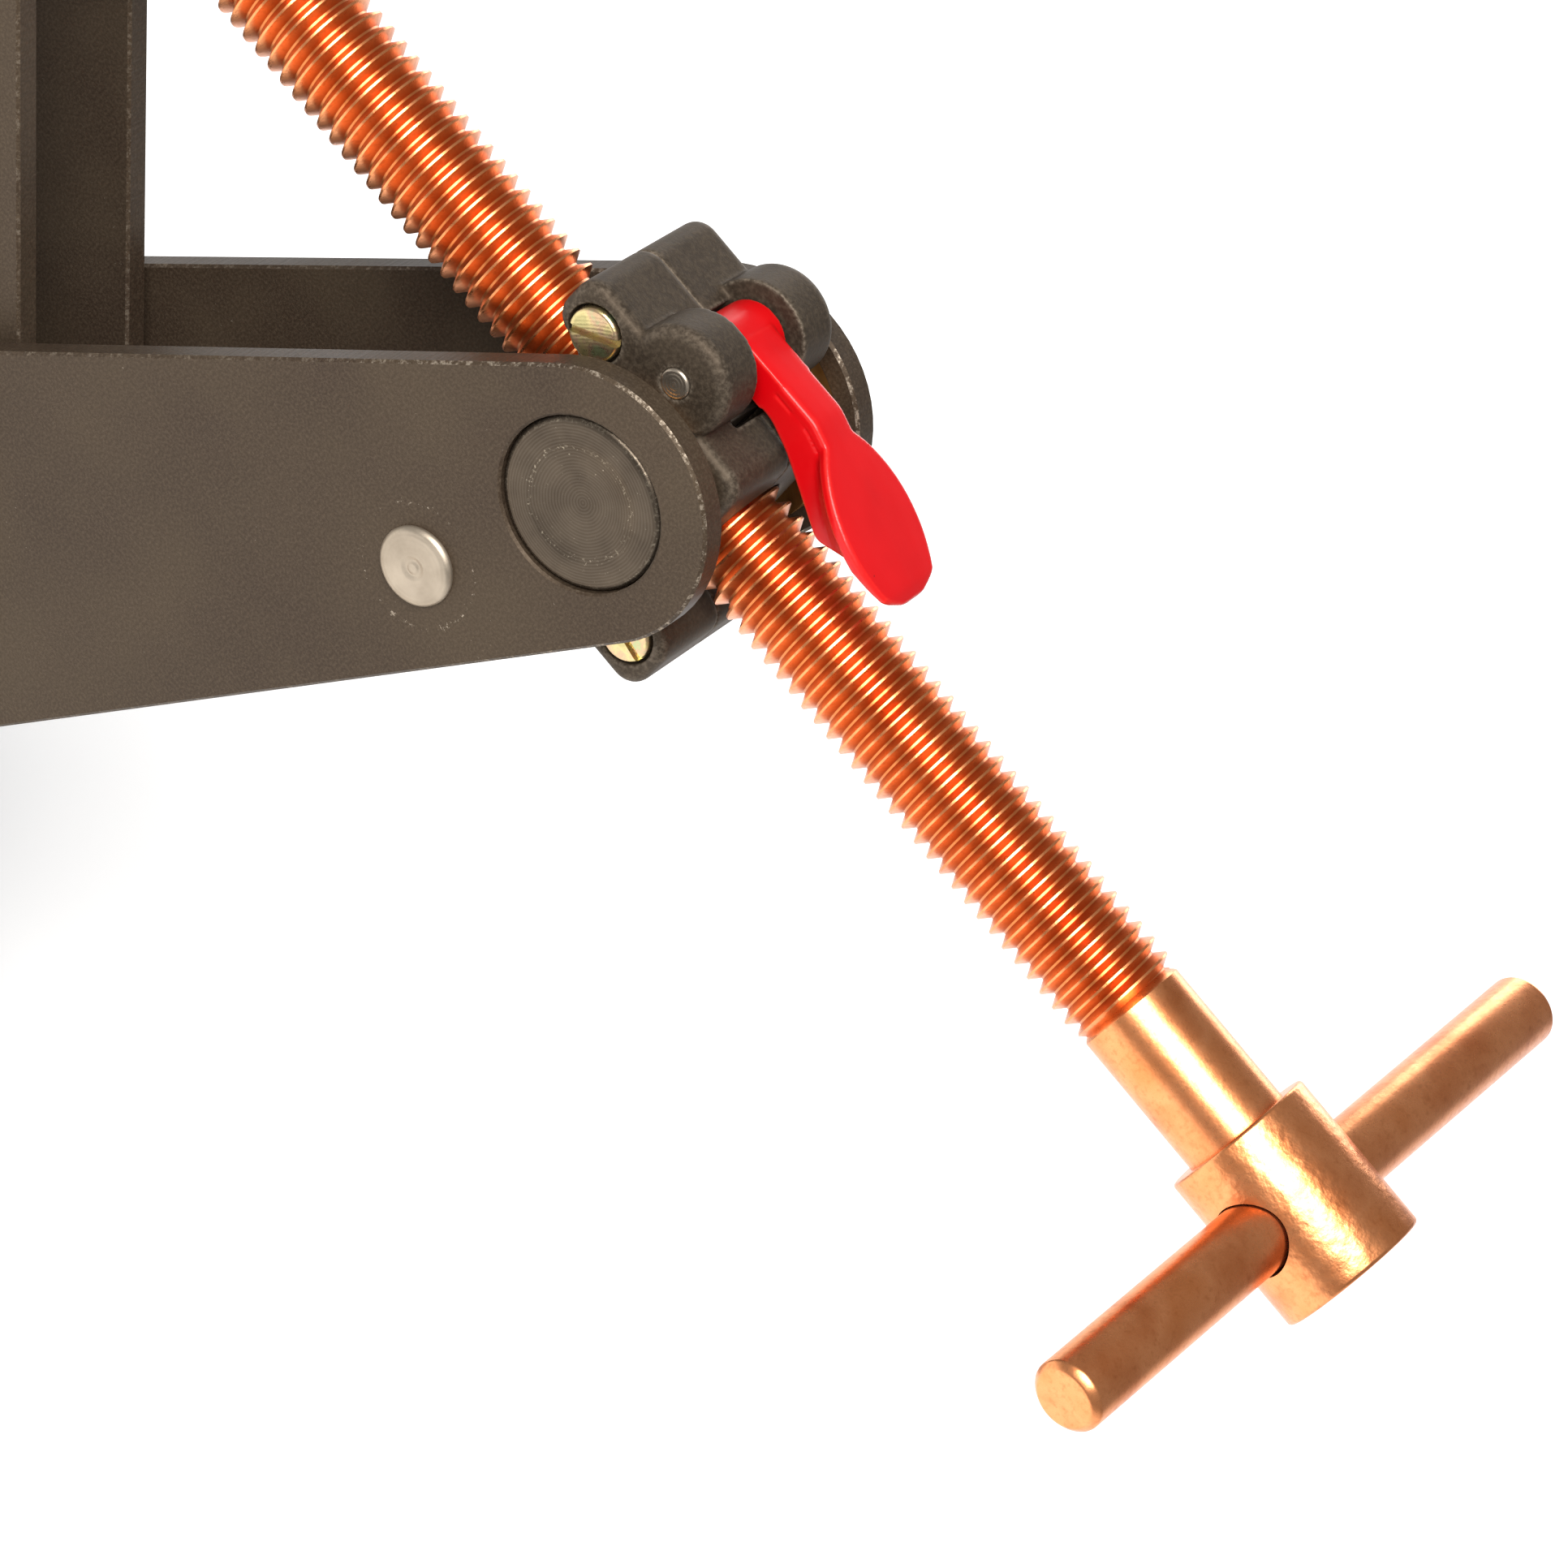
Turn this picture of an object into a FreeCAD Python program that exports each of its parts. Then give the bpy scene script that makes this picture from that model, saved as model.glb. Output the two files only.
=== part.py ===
"""Scissor beam clamp with a quick-release screw spindle, written as one STEP file per piece.

Frame: the origin is the main pivot, +Y runs along the pivot from the front plates to the rear
plates, +X runs along the spindle towards its cross bar, and +Z points up from the jaws to the
spindle. Millimetres. The outer arm carries the nut housing on the right and its jaw hooks under
the left. The inner arm is its mirror image and sits between the outer plates.
"""
import FreeCAD, Part
import math
import os

os.makedirs("parts", exist_ok=True)
Vec = FreeCAD.Vector
Y_DIR = Vec(0, 1, 0)

# --- Driving dimensions: arms -------------------------------------------------------------
ARM_LENGTH = 150.0          # main pivot to spindle trunnion
EDGE_ANGLE = 75.0           # between the inner edges of the two arms
CORNER_RISE = 50.0          # pivot to the corner where those edges cross
END_RADIUS = 22.5           # round end of an arm, about its trunnion
TAPER_ANGLE = 9.2           # outer edge of an arm against its inner edge
PLATE_THICK = 5.0
OUTER_GAP = 40.0            # between the two outer plates
INNER_GAP = 24.0            # between the two inner plates
PLATE_CHAMFER = 0.5
RUNNING_CLEARANCE = 0.05    # radial, pins and shafts in their holes
AXIAL_CLEARANCE = 0.1       # faces that slide past each other
FREE_CLEARANCE = 0.3        # everything that only has to pass

# --- Driving dimensions: jaws -------------------------------------------------------------
THROAT_REACH = 50.0         # pivot line to the back of a throat
THROAT_TOP = 118.0          # pivot down to the top of a throat
THROAT_HEIGHT = 26.0        # room for the flange's thickness
THROAT_ROUND = 3.0
LIP_DEPTH = 17.0            # height of the hooking lip
LIP_REACH = 22.0            # how far a lip comes in under the flange
JAW_WALL = 27.0             # plate behind the throat
SHOULDER_RISE = 12.0        # top of the jaw's back above the throat
SHOULDER_ROUND = 22.0
HEEL_ROUND = 14.0           # bottom corner of the jaw
WAIST_REACH = 31.0          # leg's back edge from the pivot line, at the waist
WAIST_DROP = 44.0           # waist below the pivot
WAIST_ROUND = 30.0
KNEE_DROP = 6.0             # where the inner edge turns down, below the pivot's level
KNEE_ROUND = 16.0
TOE_ROUND = 12.0
JAW_BLOCK_BACK = 12.0       # how far the block reaches behind the throat
JAW_BLOCK_INSET = 1.0       # block below the plate's own edge, so the plates bite first
JAW_RIVET_RADIUS = 4.0

# --- Driving dimensions: pivot ------------------------------------------------------------
BUSH_BORE_RADIUS = 11.0     # for the pin of the shackle that carries the load
BUSH_RADIUS = 16.0
PIVOT_WASHER_RADIUS = 23.0
PIVOT_WASHER_THICK = 2.0
CIRCLIP_THICK = 1.5
CIRCLIP_GROOVE = 1.0        # depth in the bush
CIRCLIP_RADIUS = 19.0
BUSH_END = 2.0              # bush beyond its circlip
PIVOT_SPACER_WALL = 5.0

# --- Driving dimensions: rivets -----------------------------------------------------------
RIVET_BACK = 32.6           # rivet behind the trunnion, along the arm's inner edge
RIVET_DROP = 10.9           # rivet below the trunnion, square to that edge
RIVET_RADIUS = 4.0
RIVET_HEAD_RADIUS = 6.7
RIVET_HEAD_HEIGHT = 1.4
SPACER_RADIUS = 6.5

# --- Driving dimensions: spindle ----------------------------------------------------------
THREAD_RADIUS = 9.5         # over the crests
SHANK_RADIUS = 9.0
THREAD_REACH = 111.0        # trunnion to the end of the thread
SHANK_LENGTH = 25.3
BOSS_RADIUS = 12.7
BOSS_LENGTH = 28.0
BOSS_CHAMFER = 0.8
CROSS_BAR_RADIUS = 6.0
CROSS_BAR_LENGTH = 130.0
CROSS_BAR_CHAMFER = 1.2
CROSS_BAR_TILT = 7.0        # turned about the spindle from the pivot's direction
CROSS_BAR_SKEW = 2.0        # its hole is drilled a little out of square
CROSS_BAR_SLIDE = 3.0       # bar pushed along its hole from the middle
THREAD_CHAMFER = 1.2
JOURNAL_RADIUS = 7.0
STUD_RADIUS = 6.0
NUT_ACROSS_FLATS = 19.0
NUT_HEIGHT = 8.0
END_WASHER_RADIUS = 11.0
END_WASHER_THICK = 2.0
STUD_END = 3.0              # stud beyond its nut
SPLIT_PIN_RADIUS = 1.0
SPLIT_PIN_EYE = 1.7
SPLIT_PIN_HEAD = 1.6

# --- Driving dimensions: end block --------------------------------------------------------
END_BLOCK_RADIUS = 17.0
END_PIN_RADIUS = 10.0
END_BLOCK_HALF = 11.5       # half the height of the block's flat-sided middle

# --- Driving dimensions: nut housing ------------------------------------------------------
HOUSING_HALF = 16.0         # parting plane to the front face
HOUSING_LONG = 25.0         # trunnion to the screw lobes along the spindle
HOUSING_SHORT = 16.0        # trunnion to the plain end faces
HOUSING_TOP = 23.0
HOUSING_SHOULDER = 18.5
HOUSING_LOBE = 10.0         # height of a screw lobe
HOUSING_CORNER = 4.0        # corners of the casting seen from the front
HOUSING_WAIST = 6.0         # inner corners beside the lobes
HOUSING_DRAFT = 1.0
LOBE_FLARE = 3.0            # slope from a plain end face out to a lobe
HOUSING_ROUND = 1.7         # edges of the front and rear faces
TRUNNION_RADIUS = 14.25
TRUNNION_FLUSH = 0.2        # trunnion face below the plate's face
TRUNNION_DISH = 0.4
TRUNNION_CHAMFER = 0.9
TRUNNION_RIM = 0.4          # chamfer on a plate's trunnion hole
SPIGOT_RADIUS = 9.0
SPIGOT_DEPTH = 3.0
THRUST_WASHER_WIDTH = 4.5
SCREW_INSET = 7.0           # screw centre from the lobe's two outer faces
SCREW_RADIUS = 2.0
SCREW_HEAD_RADIUS = 4.4
SCREW_HEAD_HEIGHT = 3.0
SCREW_PROUD = 0.3
SCREW_HEAD_ROUND = 0.7
SCREW_HEAD_CLEARANCE = 0.5
SCREW_SLOT_WIDTH = 1.2
SCREW_SLOT_DEPTH = 1.2
SCREW_HIGH_TURN = -33.0     # where each slot came to rest
SCREW_LOW_TURN = 11.0
SCREW_DEPTH = 9.0           # screw into the rear half

# --- Driving dimensions: release ----------------------------------------------------------
LEVER_PIN_X = -4.0          # from the trunnion, along the spindle
LEVER_PIN_RADIUS = 2.5
LEVER_PIN_PROUD = 0.3
LEVER_PIN_CHAMFER = 0.4
EAR_RADIUS = 9.0
EAR_SLOT_END = 6.0          # trunnion to the end of the slot between the ears
LEVER_HALF = 6.3            # half the width of the lever's root
LEVER_SIDE_CLEARANCE = 0.5
HUB_RADIUS = 6.0            # lever's hub about its pin
NUT_LIFT = 2.0              # travel of the half nut
CAM_RADIUS = HUB_RADIUS + NUT_LIFT
RELEASE_ANGLE = 80.0        # the lever's swing
NECK_HALF = 4.1             # half the width of the lever's neck
NECK_TOP = 6.2              # neck above the lever pin
KINK_X = 13.5               # trunnion to the bend in the neck
PADDLE_START = 17.2
PADDLE_MIDDLE = 31.5
PADDLE_HALF = 9.8
PADDLE_TIP = 42.4
PADDLE_TIP_HALF = 6.4
PADDLE_TIP_Z = 19.0         # paddle's top at its tip, from the trunnion
PADDLE_THICK = 2.2
WEB_X = 26.5                # lowest point of the web under the paddle
WEB_Z = 13.6
HALF_NUT_LONG = 12.0
HALF_NUT_LOW = 4.0          # half nut's lower face above the spindle's axis
LEDGE_GAP = 1.0             # ledge under each wing, back from the bore's side
LEDGE_DROP = 0.2            # and below the wing
NUT_OFFSET = 2.0            # half nut's middle beyond the lever pin
HALF_NUT_HALF = 12.5        # half the width over its wings
WING_HEIGHT = 3.0
WING_CLEARANCE = 0.4        # half nut's wings above the bore
NUT_CROWN = 0.5             # half nut's top above its wings
SPRING_OFFSET = 11.0        # spring axis from the parting plane
SPRING_RADIUS = 1.3
SPRING_WIRE = 0.35
SPRING_LENGTH = 5.0
SPRING_TURNS = 4

# --- Derived places -----------------------------------------------------------------------
half_edge = math.radians(EDGE_ANGLE / 2)
edge_offset = CORNER_RISE * math.sin(half_edge)
along = Vec(math.sin(half_edge), 0, math.cos(half_edge))        # up the outer arm's inner edge
inward = Vec(-math.cos(half_edge), 0, math.sin(half_edge))      # from that arm to the other
trunnion_in = edge_offset - END_RADIUS
trunnion_up = math.sqrt(ARM_LENGTH ** 2 - trunnion_in ** 2)
trunnion = along * trunnion_up + inward * trunnion_in
far_trunnion = Vec(-trunnion.x, 0, trunnion.z)
spindle_z = trunnion.z
outer_face = OUTER_GAP / 2 + PLATE_THICK
inner_face = INNER_GAP / 2 + PLATE_THICK
rivet_place = trunnion - along * RIVET_BACK - inward * RIVET_DROP
throat_bottom = THROAT_TOP + THROAT_HEIGHT
lip_bottom = throat_bottom + LIP_DEPTH
jaw_back = THROAT_REACH + JAW_WALL


# --- Helpers ------------------------------------------------------------------------------
def rounded_face(points):
    """Face in the XZ plane from (x, z, corner radius) points."""
    corners = [Vec(x, 0, z) for x, z, _ in points]
    edges = []
    ends = []
    count = len(points)
    for i, (_, _, radius) in enumerate(points):
        here = corners[i]
        back = (corners[i - 1] - here).normalize()
        ahead = (corners[(i + 1) % count] - here).normalize()
        if radius == 0:
            ends.append((here, None, here))
            continue
        half = math.acos(max(-1.0, min(1.0, back.dot(ahead)))) / 2
        run = radius / math.tan(half)
        middle = (back + ahead).normalize()
        centre = here + middle * (radius / math.sin(half))
        ends.append((here + back * run, centre - middle * radius, here + ahead * run))
    for i, (start, mid, end) in enumerate(ends):
        if mid is not None:
            edges.append(Part.Arc(start, mid, end).toShape())
        following = ends[(i + 1) % count][0]
        if (following - end).Length > 1e-4:
            edges.append(Part.makeLine(end, following))
    return Part.Face(Part.Wire(edges))


def slab(points, y_low, y_high):
    """Rounded outline, extruded along Y."""
    face = rounded_face(points)
    face.translate(Vec(0, y_low, 0))
    return face.extrude(Vec(0, y_high - y_low, 0))


def rod(radius, y_low, y_high, at=Vec(0, 0, 0)):
    """Cylinder along Y."""
    return Part.makeCylinder(radius, y_high - y_low, Vec(at.x, y_low, at.z), Y_DIR)


def ring(outer, inner, y_low, y_high, at=Vec(0, 0, 0)):
    return rod(outer, y_low, y_high, at).cut(rod(inner, y_low, y_high, at))


def bar(radius, x_low, x_high):
    """Cylinder along the spindle."""
    return Part.makeCylinder(radius, x_high - x_low, Vec(x_low, 0, spindle_z), Vec(1, 0, 0))


def block(x_low, x_high, y_low, y_high, z_low, z_high):
    corner = Vec(x_low, y_low, z_low)
    return Part.makeBox(x_high - x_low, y_high - y_low, z_high - z_low, corner)


def edges_at_y(shape, y):
    """Edges that lie wholly in the plane of this y."""
    return [edge for edge in shape.Edges
            if abs(edge.BoundBox.YMin - y) < 1e-4 and abs(edge.BoundBox.YMax - y) < 1e-4]


def mirror_x(shape):
    return shape.mirror(Vec(0, 0, 0), Vec(1, 0, 0))


def mirror_y(shape):
    return shape.mirror(Vec(0, 0, 0), Y_DIR)


def group(shapes):
    return Part.makeCompound(shapes)


def save(name, shape):
    shape.exportStep("parts/" + name + ".step")


# --- Arms ---------------------------------------------------------------------------------
def arm_outline():
    """Outer arm seen from the front: spindle end upper right, jaw lower left."""
    taper = math.radians(TAPER_ANGLE)
    tip = trunnion_up + END_RADIUS

    def place(up, across):
        point = along * up + inward * across
        return point.x, point.z

    def outer_edge(up):
        return trunnion_in - END_RADIUS / math.cos(taper) - (trunnion_up - up) * math.tan(taper)

    def toe():
        """Where the outer edge, carried on downwards, meets the top of the throat."""
        high = place(0.0, outer_edge(0.0))
        low = place(-100.0, outer_edge(-100.0))
        part = (high[1] + THROAT_TOP) / (high[1] - low[1])
        return high[0] + part * (low[0] - high[0]), -THROAT_TOP

    lip_tip = -THROAT_REACH + LIP_REACH
    return [
        (*place(tip, edge_offset), END_RADIUS),
        (*place(-KNEE_DROP, edge_offset), KNEE_ROUND),
        (-WAIST_REACH, -WAIST_DROP, WAIST_ROUND),
        (-jaw_back, -THROAT_TOP + SHOULDER_RISE, SHOULDER_ROUND),
        (-jaw_back, -lip_bottom, HEEL_ROUND),
        (lip_tip, -lip_bottom, THROAT_ROUND),
        (lip_tip, -throat_bottom, THROAT_ROUND),
        (-THROAT_REACH, -throat_bottom, THROAT_ROUND),
        (-THROAT_REACH, -THROAT_TOP, THROAT_ROUND),
        (*toe(), TOE_ROUND),
        (*place(tip, outer_edge(tip)), END_RADIUS),
    ]


def arm_plate(y_low, holes):
    """Plate with its trunnion, pivot, spacer rivet and jaw rivet holes."""
    plate = slab(arm_outline(), y_low, y_low + PLATE_THICK)
    faces = edges_at_y(plate, y_low) + edges_at_y(plate, y_low + PLATE_THICK)
    plate = plate.makeChamfer(PLATE_CHAMFER, faces)
    for radius, at in holes:
        plate = plate.cut(rod(radius, y_low, y_low + PLATE_THICK, at))
    rims = [(y_low, 1), (y_low + PLATE_THICK, -1)]
    for y, side in rims:
        radius = holes[0][0] + TRUNNION_RIM
        plate = plate.cut(Part.makeCone(radius, radius - TRUNNION_RIM, TRUNNION_RIM,
                                        Vec(trunnion.x, y, trunnion.z), Y_DIR * side))
    return plate


def rivet(half_grip, radius, head_radius, at):
    """Solid rivet with a low domed head on each side and a dimple in each head."""
    body = rod(radius, -half_grip, half_grip, at)
    for side in (-1, 1):
        sphere_radius = (head_radius ** 2 + RIVET_HEAD_HEIGHT ** 2) / (2 * RIVET_HEAD_HEIGHT)
        centre = Vec(at.x, side * (half_grip + RIVET_HEAD_HEIGHT - sphere_radius), at.z)
        ball = Part.makeSphere(sphere_radius, centre)
        low = half_grip if side > 0 else -half_grip - RIVET_HEAD_HEIGHT
        head = rod(head_radius, low, low + RIVET_HEAD_HEIGHT, at).common(ball)
        dimple = Part.makeCone(1.6, 0.3, 0.5, Vec(at.x, side * (half_grip + RIVET_HEAD_HEIGHT), at.z),
                               Vec(0, -side, 0))
        body = body.fuse(head).cut(dimple)
    return body


def jaw_rivet_places():
    behind = THROAT_REACH + JAW_BLOCK_BACK * 0.5
    return [Vec(-behind, 0, -THROAT_TOP - THROAT_HEIGHT * 0.3),
            Vec(-behind, 0, -throat_bottom - LIP_DEPTH * 0.45),
            Vec(-THROAT_REACH + LIP_REACH * 0.45, 0, -throat_bottom - LIP_DEPTH * 0.5)]


def jaw_block(gap):
    """Bar between an arm's plates: the lip and the back of the throat in one L."""
    inset = JAW_BLOCK_INSET
    points = [
        (-THROAT_REACH - JAW_BLOCK_BACK, -THROAT_TOP, 3.0),
        (-THROAT_REACH - JAW_BLOCK_BACK, -lip_bottom + inset, 8.0),
        (-THROAT_REACH + LIP_REACH - inset, -lip_bottom + inset, 4.0),
        (-THROAT_REACH + LIP_REACH - inset, -throat_bottom - inset, 2.0),
        (-THROAT_REACH - inset, -throat_bottom - inset, 2.0),
        (-THROAT_REACH - inset, -THROAT_TOP, 2.0),
    ]
    solid = slab(points, -gap / 2, gap / 2)
    for at in jaw_rivet_places():
        solid = solid.cut(rod(JAW_RIVET_RADIUS, -gap / 2, gap / 2, at))
    return solid


def make_arm(name, gap, pin_radius, pivot_radius, place):
    """Two plates, their spacer and rivet, and the riveted jaw block."""
    face = gap / 2 + PLATE_THICK
    holes = [(pin_radius, trunnion), (pivot_radius, Vec(0, 0, 0)), (RIVET_RADIUS, rivet_place)]
    holes += [(JAW_RIVET_RADIUS, at) for at in jaw_rivet_places()]
    save(name + "_plate_front", place(arm_plate(-face, holes)))
    save(name + "_plate_rear", place(arm_plate(gap / 2, holes)))
    spacer = ring(SPACER_RADIUS, RIVET_RADIUS, -gap / 2, gap / 2, rivet_place)
    save(name + "_spacer_tube", place(spacer))
    save(name + "_spacer_rivet", place(rivet(face, RIVET_RADIUS, RIVET_HEAD_RADIUS, rivet_place)))
    save(name + "_jaw_block", place(jaw_block(gap)))
    heads = [rivet(face, JAW_RIVET_RADIUS, RIVET_HEAD_RADIUS, at) for at in jaw_rivet_places()]
    save(name + "_jaw_rivets", place(group(heads)))


# --- Main pivot ---------------------------------------------------------------------------
def make_pivot():
    washer_out = outer_face + PIVOT_WASHER_THICK
    clip_out = washer_out + CIRCLIP_THICK
    groove_radius = BUSH_RADIUS - CIRCLIP_GROOVE
    bush = ring(BUSH_RADIUS, BUSH_BORE_RADIUS, -clip_out - BUSH_END, clip_out + BUSH_END)
    bush = bush.makeChamfer(0.8, edges_at_y(bush, -clip_out - BUSH_END)
                            + edges_at_y(bush, clip_out + BUSH_END))
    clips = []
    washers = []
    gap_washers = []
    for side in (-1, 1):
        clip_low = min(side * washer_out, side * clip_out)
        bush = bush.cut(ring(BUSH_RADIUS + 1, groove_radius, clip_low, clip_low + CIRCLIP_THICK))
        clip = ring(CIRCLIP_RADIUS, groove_radius, clip_low, clip_low + CIRCLIP_THICK)
        mouth = block(-4.0, 4.0, clip_low, clip_low + CIRCLIP_THICK, 0, CIRCLIP_RADIUS + 1)
        clips.append(clip.cut(mouth))
        washer_low = min(side * outer_face, side * washer_out)
        washers.append(ring(PIVOT_WASHER_RADIUS, BUSH_RADIUS, washer_low,
                            washer_low + PIVOT_WASHER_THICK))
        gap_low = inner_face + AXIAL_CLEARANCE
        gap_high = OUTER_GAP / 2
        low = gap_low if side > 0 else -gap_high
        gap_washers.append(ring(PIVOT_WASHER_RADIUS, BUSH_RADIUS, low, low + gap_high - gap_low))
    save("pivot_bush", bush)
    save("pivot_circlips", group(clips))
    save("pivot_washers", group(washers))
    save("pivot_gap_washers", group(gap_washers))
    turning = BUSH_RADIUS + RUNNING_CLEARANCE
    save("inner_pivot_spacer", ring(turning + PIVOT_SPACER_WALL, turning, -INNER_GAP / 2, INNER_GAP / 2))


# --- Nut housing --------------------------------------------------------------------------
def at_trunnion(points):
    return [(trunnion.x + x, spindle_z + z, radius) for x, z, radius in points]


bore_radius = THREAD_RADIUS + FREE_CLEARANCE
wing_low = bore_radius + WING_CLEARANCE
wing_top = wing_low + WING_HEIGHT
nut_top = wing_top + NUT_CROWN
pin_rise = nut_top + FREE_CLEARANCE + CAM_RADIUS
lever_pin = Vec(trunnion.x + LEVER_PIN_X, 0, spindle_z + pin_rise)
screw_out = HOUSING_LONG - SCREW_INSET
screw_high = Vec(trunnion.x - screw_out, 0, spindle_z + HOUSING_TOP - SCREW_INSET)
screw_low = Vec(trunnion.x + screw_out, 0, spindle_z - HOUSING_TOP - HOUSING_DRAFT + SCREW_INSET)
slot_left = trunnion.x + LEVER_PIN_X - HUB_RADIUS - 2 * FREE_CLEARANCE
nut_left = trunnion.x + LEVER_PIN_X - HALF_NUT_LONG / 2 + NUT_OFFSET


def housing_outline():
    """One half of the casting from the front: a lobe for a screw at two opposite corners."""
    ear_left = slot_left - trunnion.x
    lobe_low = HOUSING_TOP - HOUSING_LOBE
    return at_trunnion([
        (-HOUSING_LONG, HOUSING_TOP, HOUSING_CORNER),
        (ear_left, HOUSING_TOP, 0),
        (ear_left, HOUSING_SHOULDER, 0),
        (HOUSING_SHORT - HOUSING_DRAFT, HOUSING_SHOULDER, HOUSING_CORNER),
        (HOUSING_SHORT, -lobe_low + LOBE_FLARE, HOUSING_CORNER),
        (HOUSING_LONG, -lobe_low, HOUSING_CORNER),
        (HOUSING_LONG, -HOUSING_TOP - HOUSING_DRAFT, HOUSING_CORNER),
        (HOUSING_SHORT - LOBE_FLARE, -HOUSING_TOP - HOUSING_DRAFT, HOUSING_CORNER),
        (HOUSING_CORNER, -HOUSING_SHOULDER, HOUSING_WAIST),
        (-HOUSING_SHORT + HOUSING_DRAFT, -HOUSING_SHOULDER, HOUSING_WAIST),
        (-HOUSING_SHORT, lobe_low - LOBE_FLARE, HOUSING_CORNER),
        (-HOUSING_LONG, lobe_low, HOUSING_CORNER),
    ])


def housing_half():
    """Front half: lobes for the screws, an ear for the lever pin and the half nut's pocket."""
    face = -HOUSING_HALF
    half = slab(housing_outline(), face, 0)
    half = half.makeFillet(HOUSING_ROUND, edges_at_y(half, face))
    ear_inner = -LEVER_HALF - LEVER_SIDE_CLEARANCE
    ear = rod(EAR_RADIUS, face, ear_inner, lever_pin)
    ear = ear.makeFillet(HOUSING_ROUND, edges_at_y(ear, face))
    half = half.fuse(ear).removeSplitter()
    half = half.cut(bar(bore_radius, trunnion.x - 2 * HOUSING_LONG, trunnion.x + 2 * HOUSING_LONG))
    half = half.cut(rod(SPIGOT_RADIUS, face, face + SPIGOT_DEPTH, trunnion))
    half = half.cut(rod(LEVER_PIN_RADIUS, face, 0, lever_pin))
    pocket_top = spindle_z + wing_top + NUT_LIFT + FREE_CLEARANCE
    half = half.cut(block(slot_left, trunnion.x + EAR_SLOT_END, ear_inner, 0, spindle_z + wing_low,
                          spindle_z + 2 * pin_rise))
    pocket = block(nut_left - FREE_CLEARANCE, nut_left + HALF_NUT_LONG + FREE_CLEARANCE,
                   -HALF_NUT_HALF - FREE_CLEARANCE, 0, spindle_z + HALF_NUT_LOW, pocket_top)
    ledge = block(nut_left - FREE_CLEARANCE, nut_left + HALF_NUT_LONG + FREE_CLEARANCE,
                  -2 * HALF_NUT_HALF, -bore_radius + LEDGE_GAP, spindle_z,
                  spindle_z + wing_low - LEDGE_DROP)
    half = half.cut(pocket.cut(ledge))
    well = Part.makeCylinder(SPRING_RADIUS + SPRING_WIRE + FREE_CLEARANCE, SPRING_LENGTH,
                             Vec(nut_left + HALF_NUT_LONG / 2, -SPRING_OFFSET,
                                 spindle_z + wing_low - SPRING_LENGTH))
    return half.cut(well)


def make_housing():
    front = housing_half()
    rear = mirror_y(front)
    screws = []
    head_floor = -HOUSING_HALF + SCREW_HEAD_HEIGHT - SCREW_PROUD
    for at, slot_turn in ((screw_high, SCREW_HIGH_TURN), (screw_low, SCREW_LOW_TURN)):
        front = front.cut(rod(SCREW_HEAD_RADIUS + SCREW_HEAD_CLEARANCE, -HOUSING_HALF, head_floor, at))
        front = front.cut(rod(SCREW_RADIUS, -HOUSING_HALF, 0, at))
        rear = rear.cut(rod(SCREW_RADIUS, 0, SCREW_DEPTH, at))
        head_face = head_floor - SCREW_HEAD_HEIGHT
        head = rod(SCREW_HEAD_RADIUS, head_face, head_floor, at)
        head = head.makeFillet(SCREW_HEAD_ROUND, edges_at_y(head, head_face))
        slot = block(at.x - 2 * SCREW_HEAD_RADIUS, at.x + 2 * SCREW_HEAD_RADIUS, head_face,
                     head_face + SCREW_SLOT_DEPTH,
                     at.z - SCREW_SLOT_WIDTH / 2, at.z + SCREW_SLOT_WIDTH / 2)
        slot.rotate(at, Y_DIR, slot_turn)
        screws.append(head.cut(slot).fuse(rod(SCREW_RADIUS, head_floor, SCREW_DEPTH, at)))
    save("housing_front", front)
    save("housing_rear", rear)
    save("housing_screws", group(screws))
    pin_end = HOUSING_HALF + LEVER_PIN_PROUD
    pin = rod(LEVER_PIN_RADIUS, -pin_end, pin_end, lever_pin)
    pin_edges = edges_at_y(pin, -pin_end) + edges_at_y(pin, pin_end)
    save("lever_pin", pin.makeChamfer(LEVER_PIN_CHAMFER, pin_edges))
    make_trunnions()


def make_trunnions():
    """Turned studs pressed into the housing halves, and the washers round them."""
    face = outer_face - TRUNNION_FLUSH
    stud = rod(TRUNNION_RADIUS, -face, -HOUSING_HALF, trunnion)
    stud = stud.makeChamfer(TRUNNION_CHAMFER, edges_at_y(stud, -face))
    stud = stud.cut(Part.makeCone(TRUNNION_RADIUS * 0.68, TRUNNION_RADIUS * 0.5, TRUNNION_DISH,
                                  Vec(trunnion.x, -face, trunnion.z), Y_DIR))
    stud = stud.fuse(rod(SPIGOT_RADIUS, -HOUSING_HALF, -HOUSING_HALF + SPIGOT_DEPTH, trunnion))
    save("trunnion_front", stud)
    save("trunnion_rear", mirror_y(stud))
    washer = ring(TRUNNION_RADIUS + THRUST_WASHER_WIDTH, TRUNNION_RADIUS,
                  -OUTER_GAP / 2 + AXIAL_CLEARANCE, -HOUSING_HALF, trunnion)
    save("thrust_washers", group([washer, mirror_y(washer)]))


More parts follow.
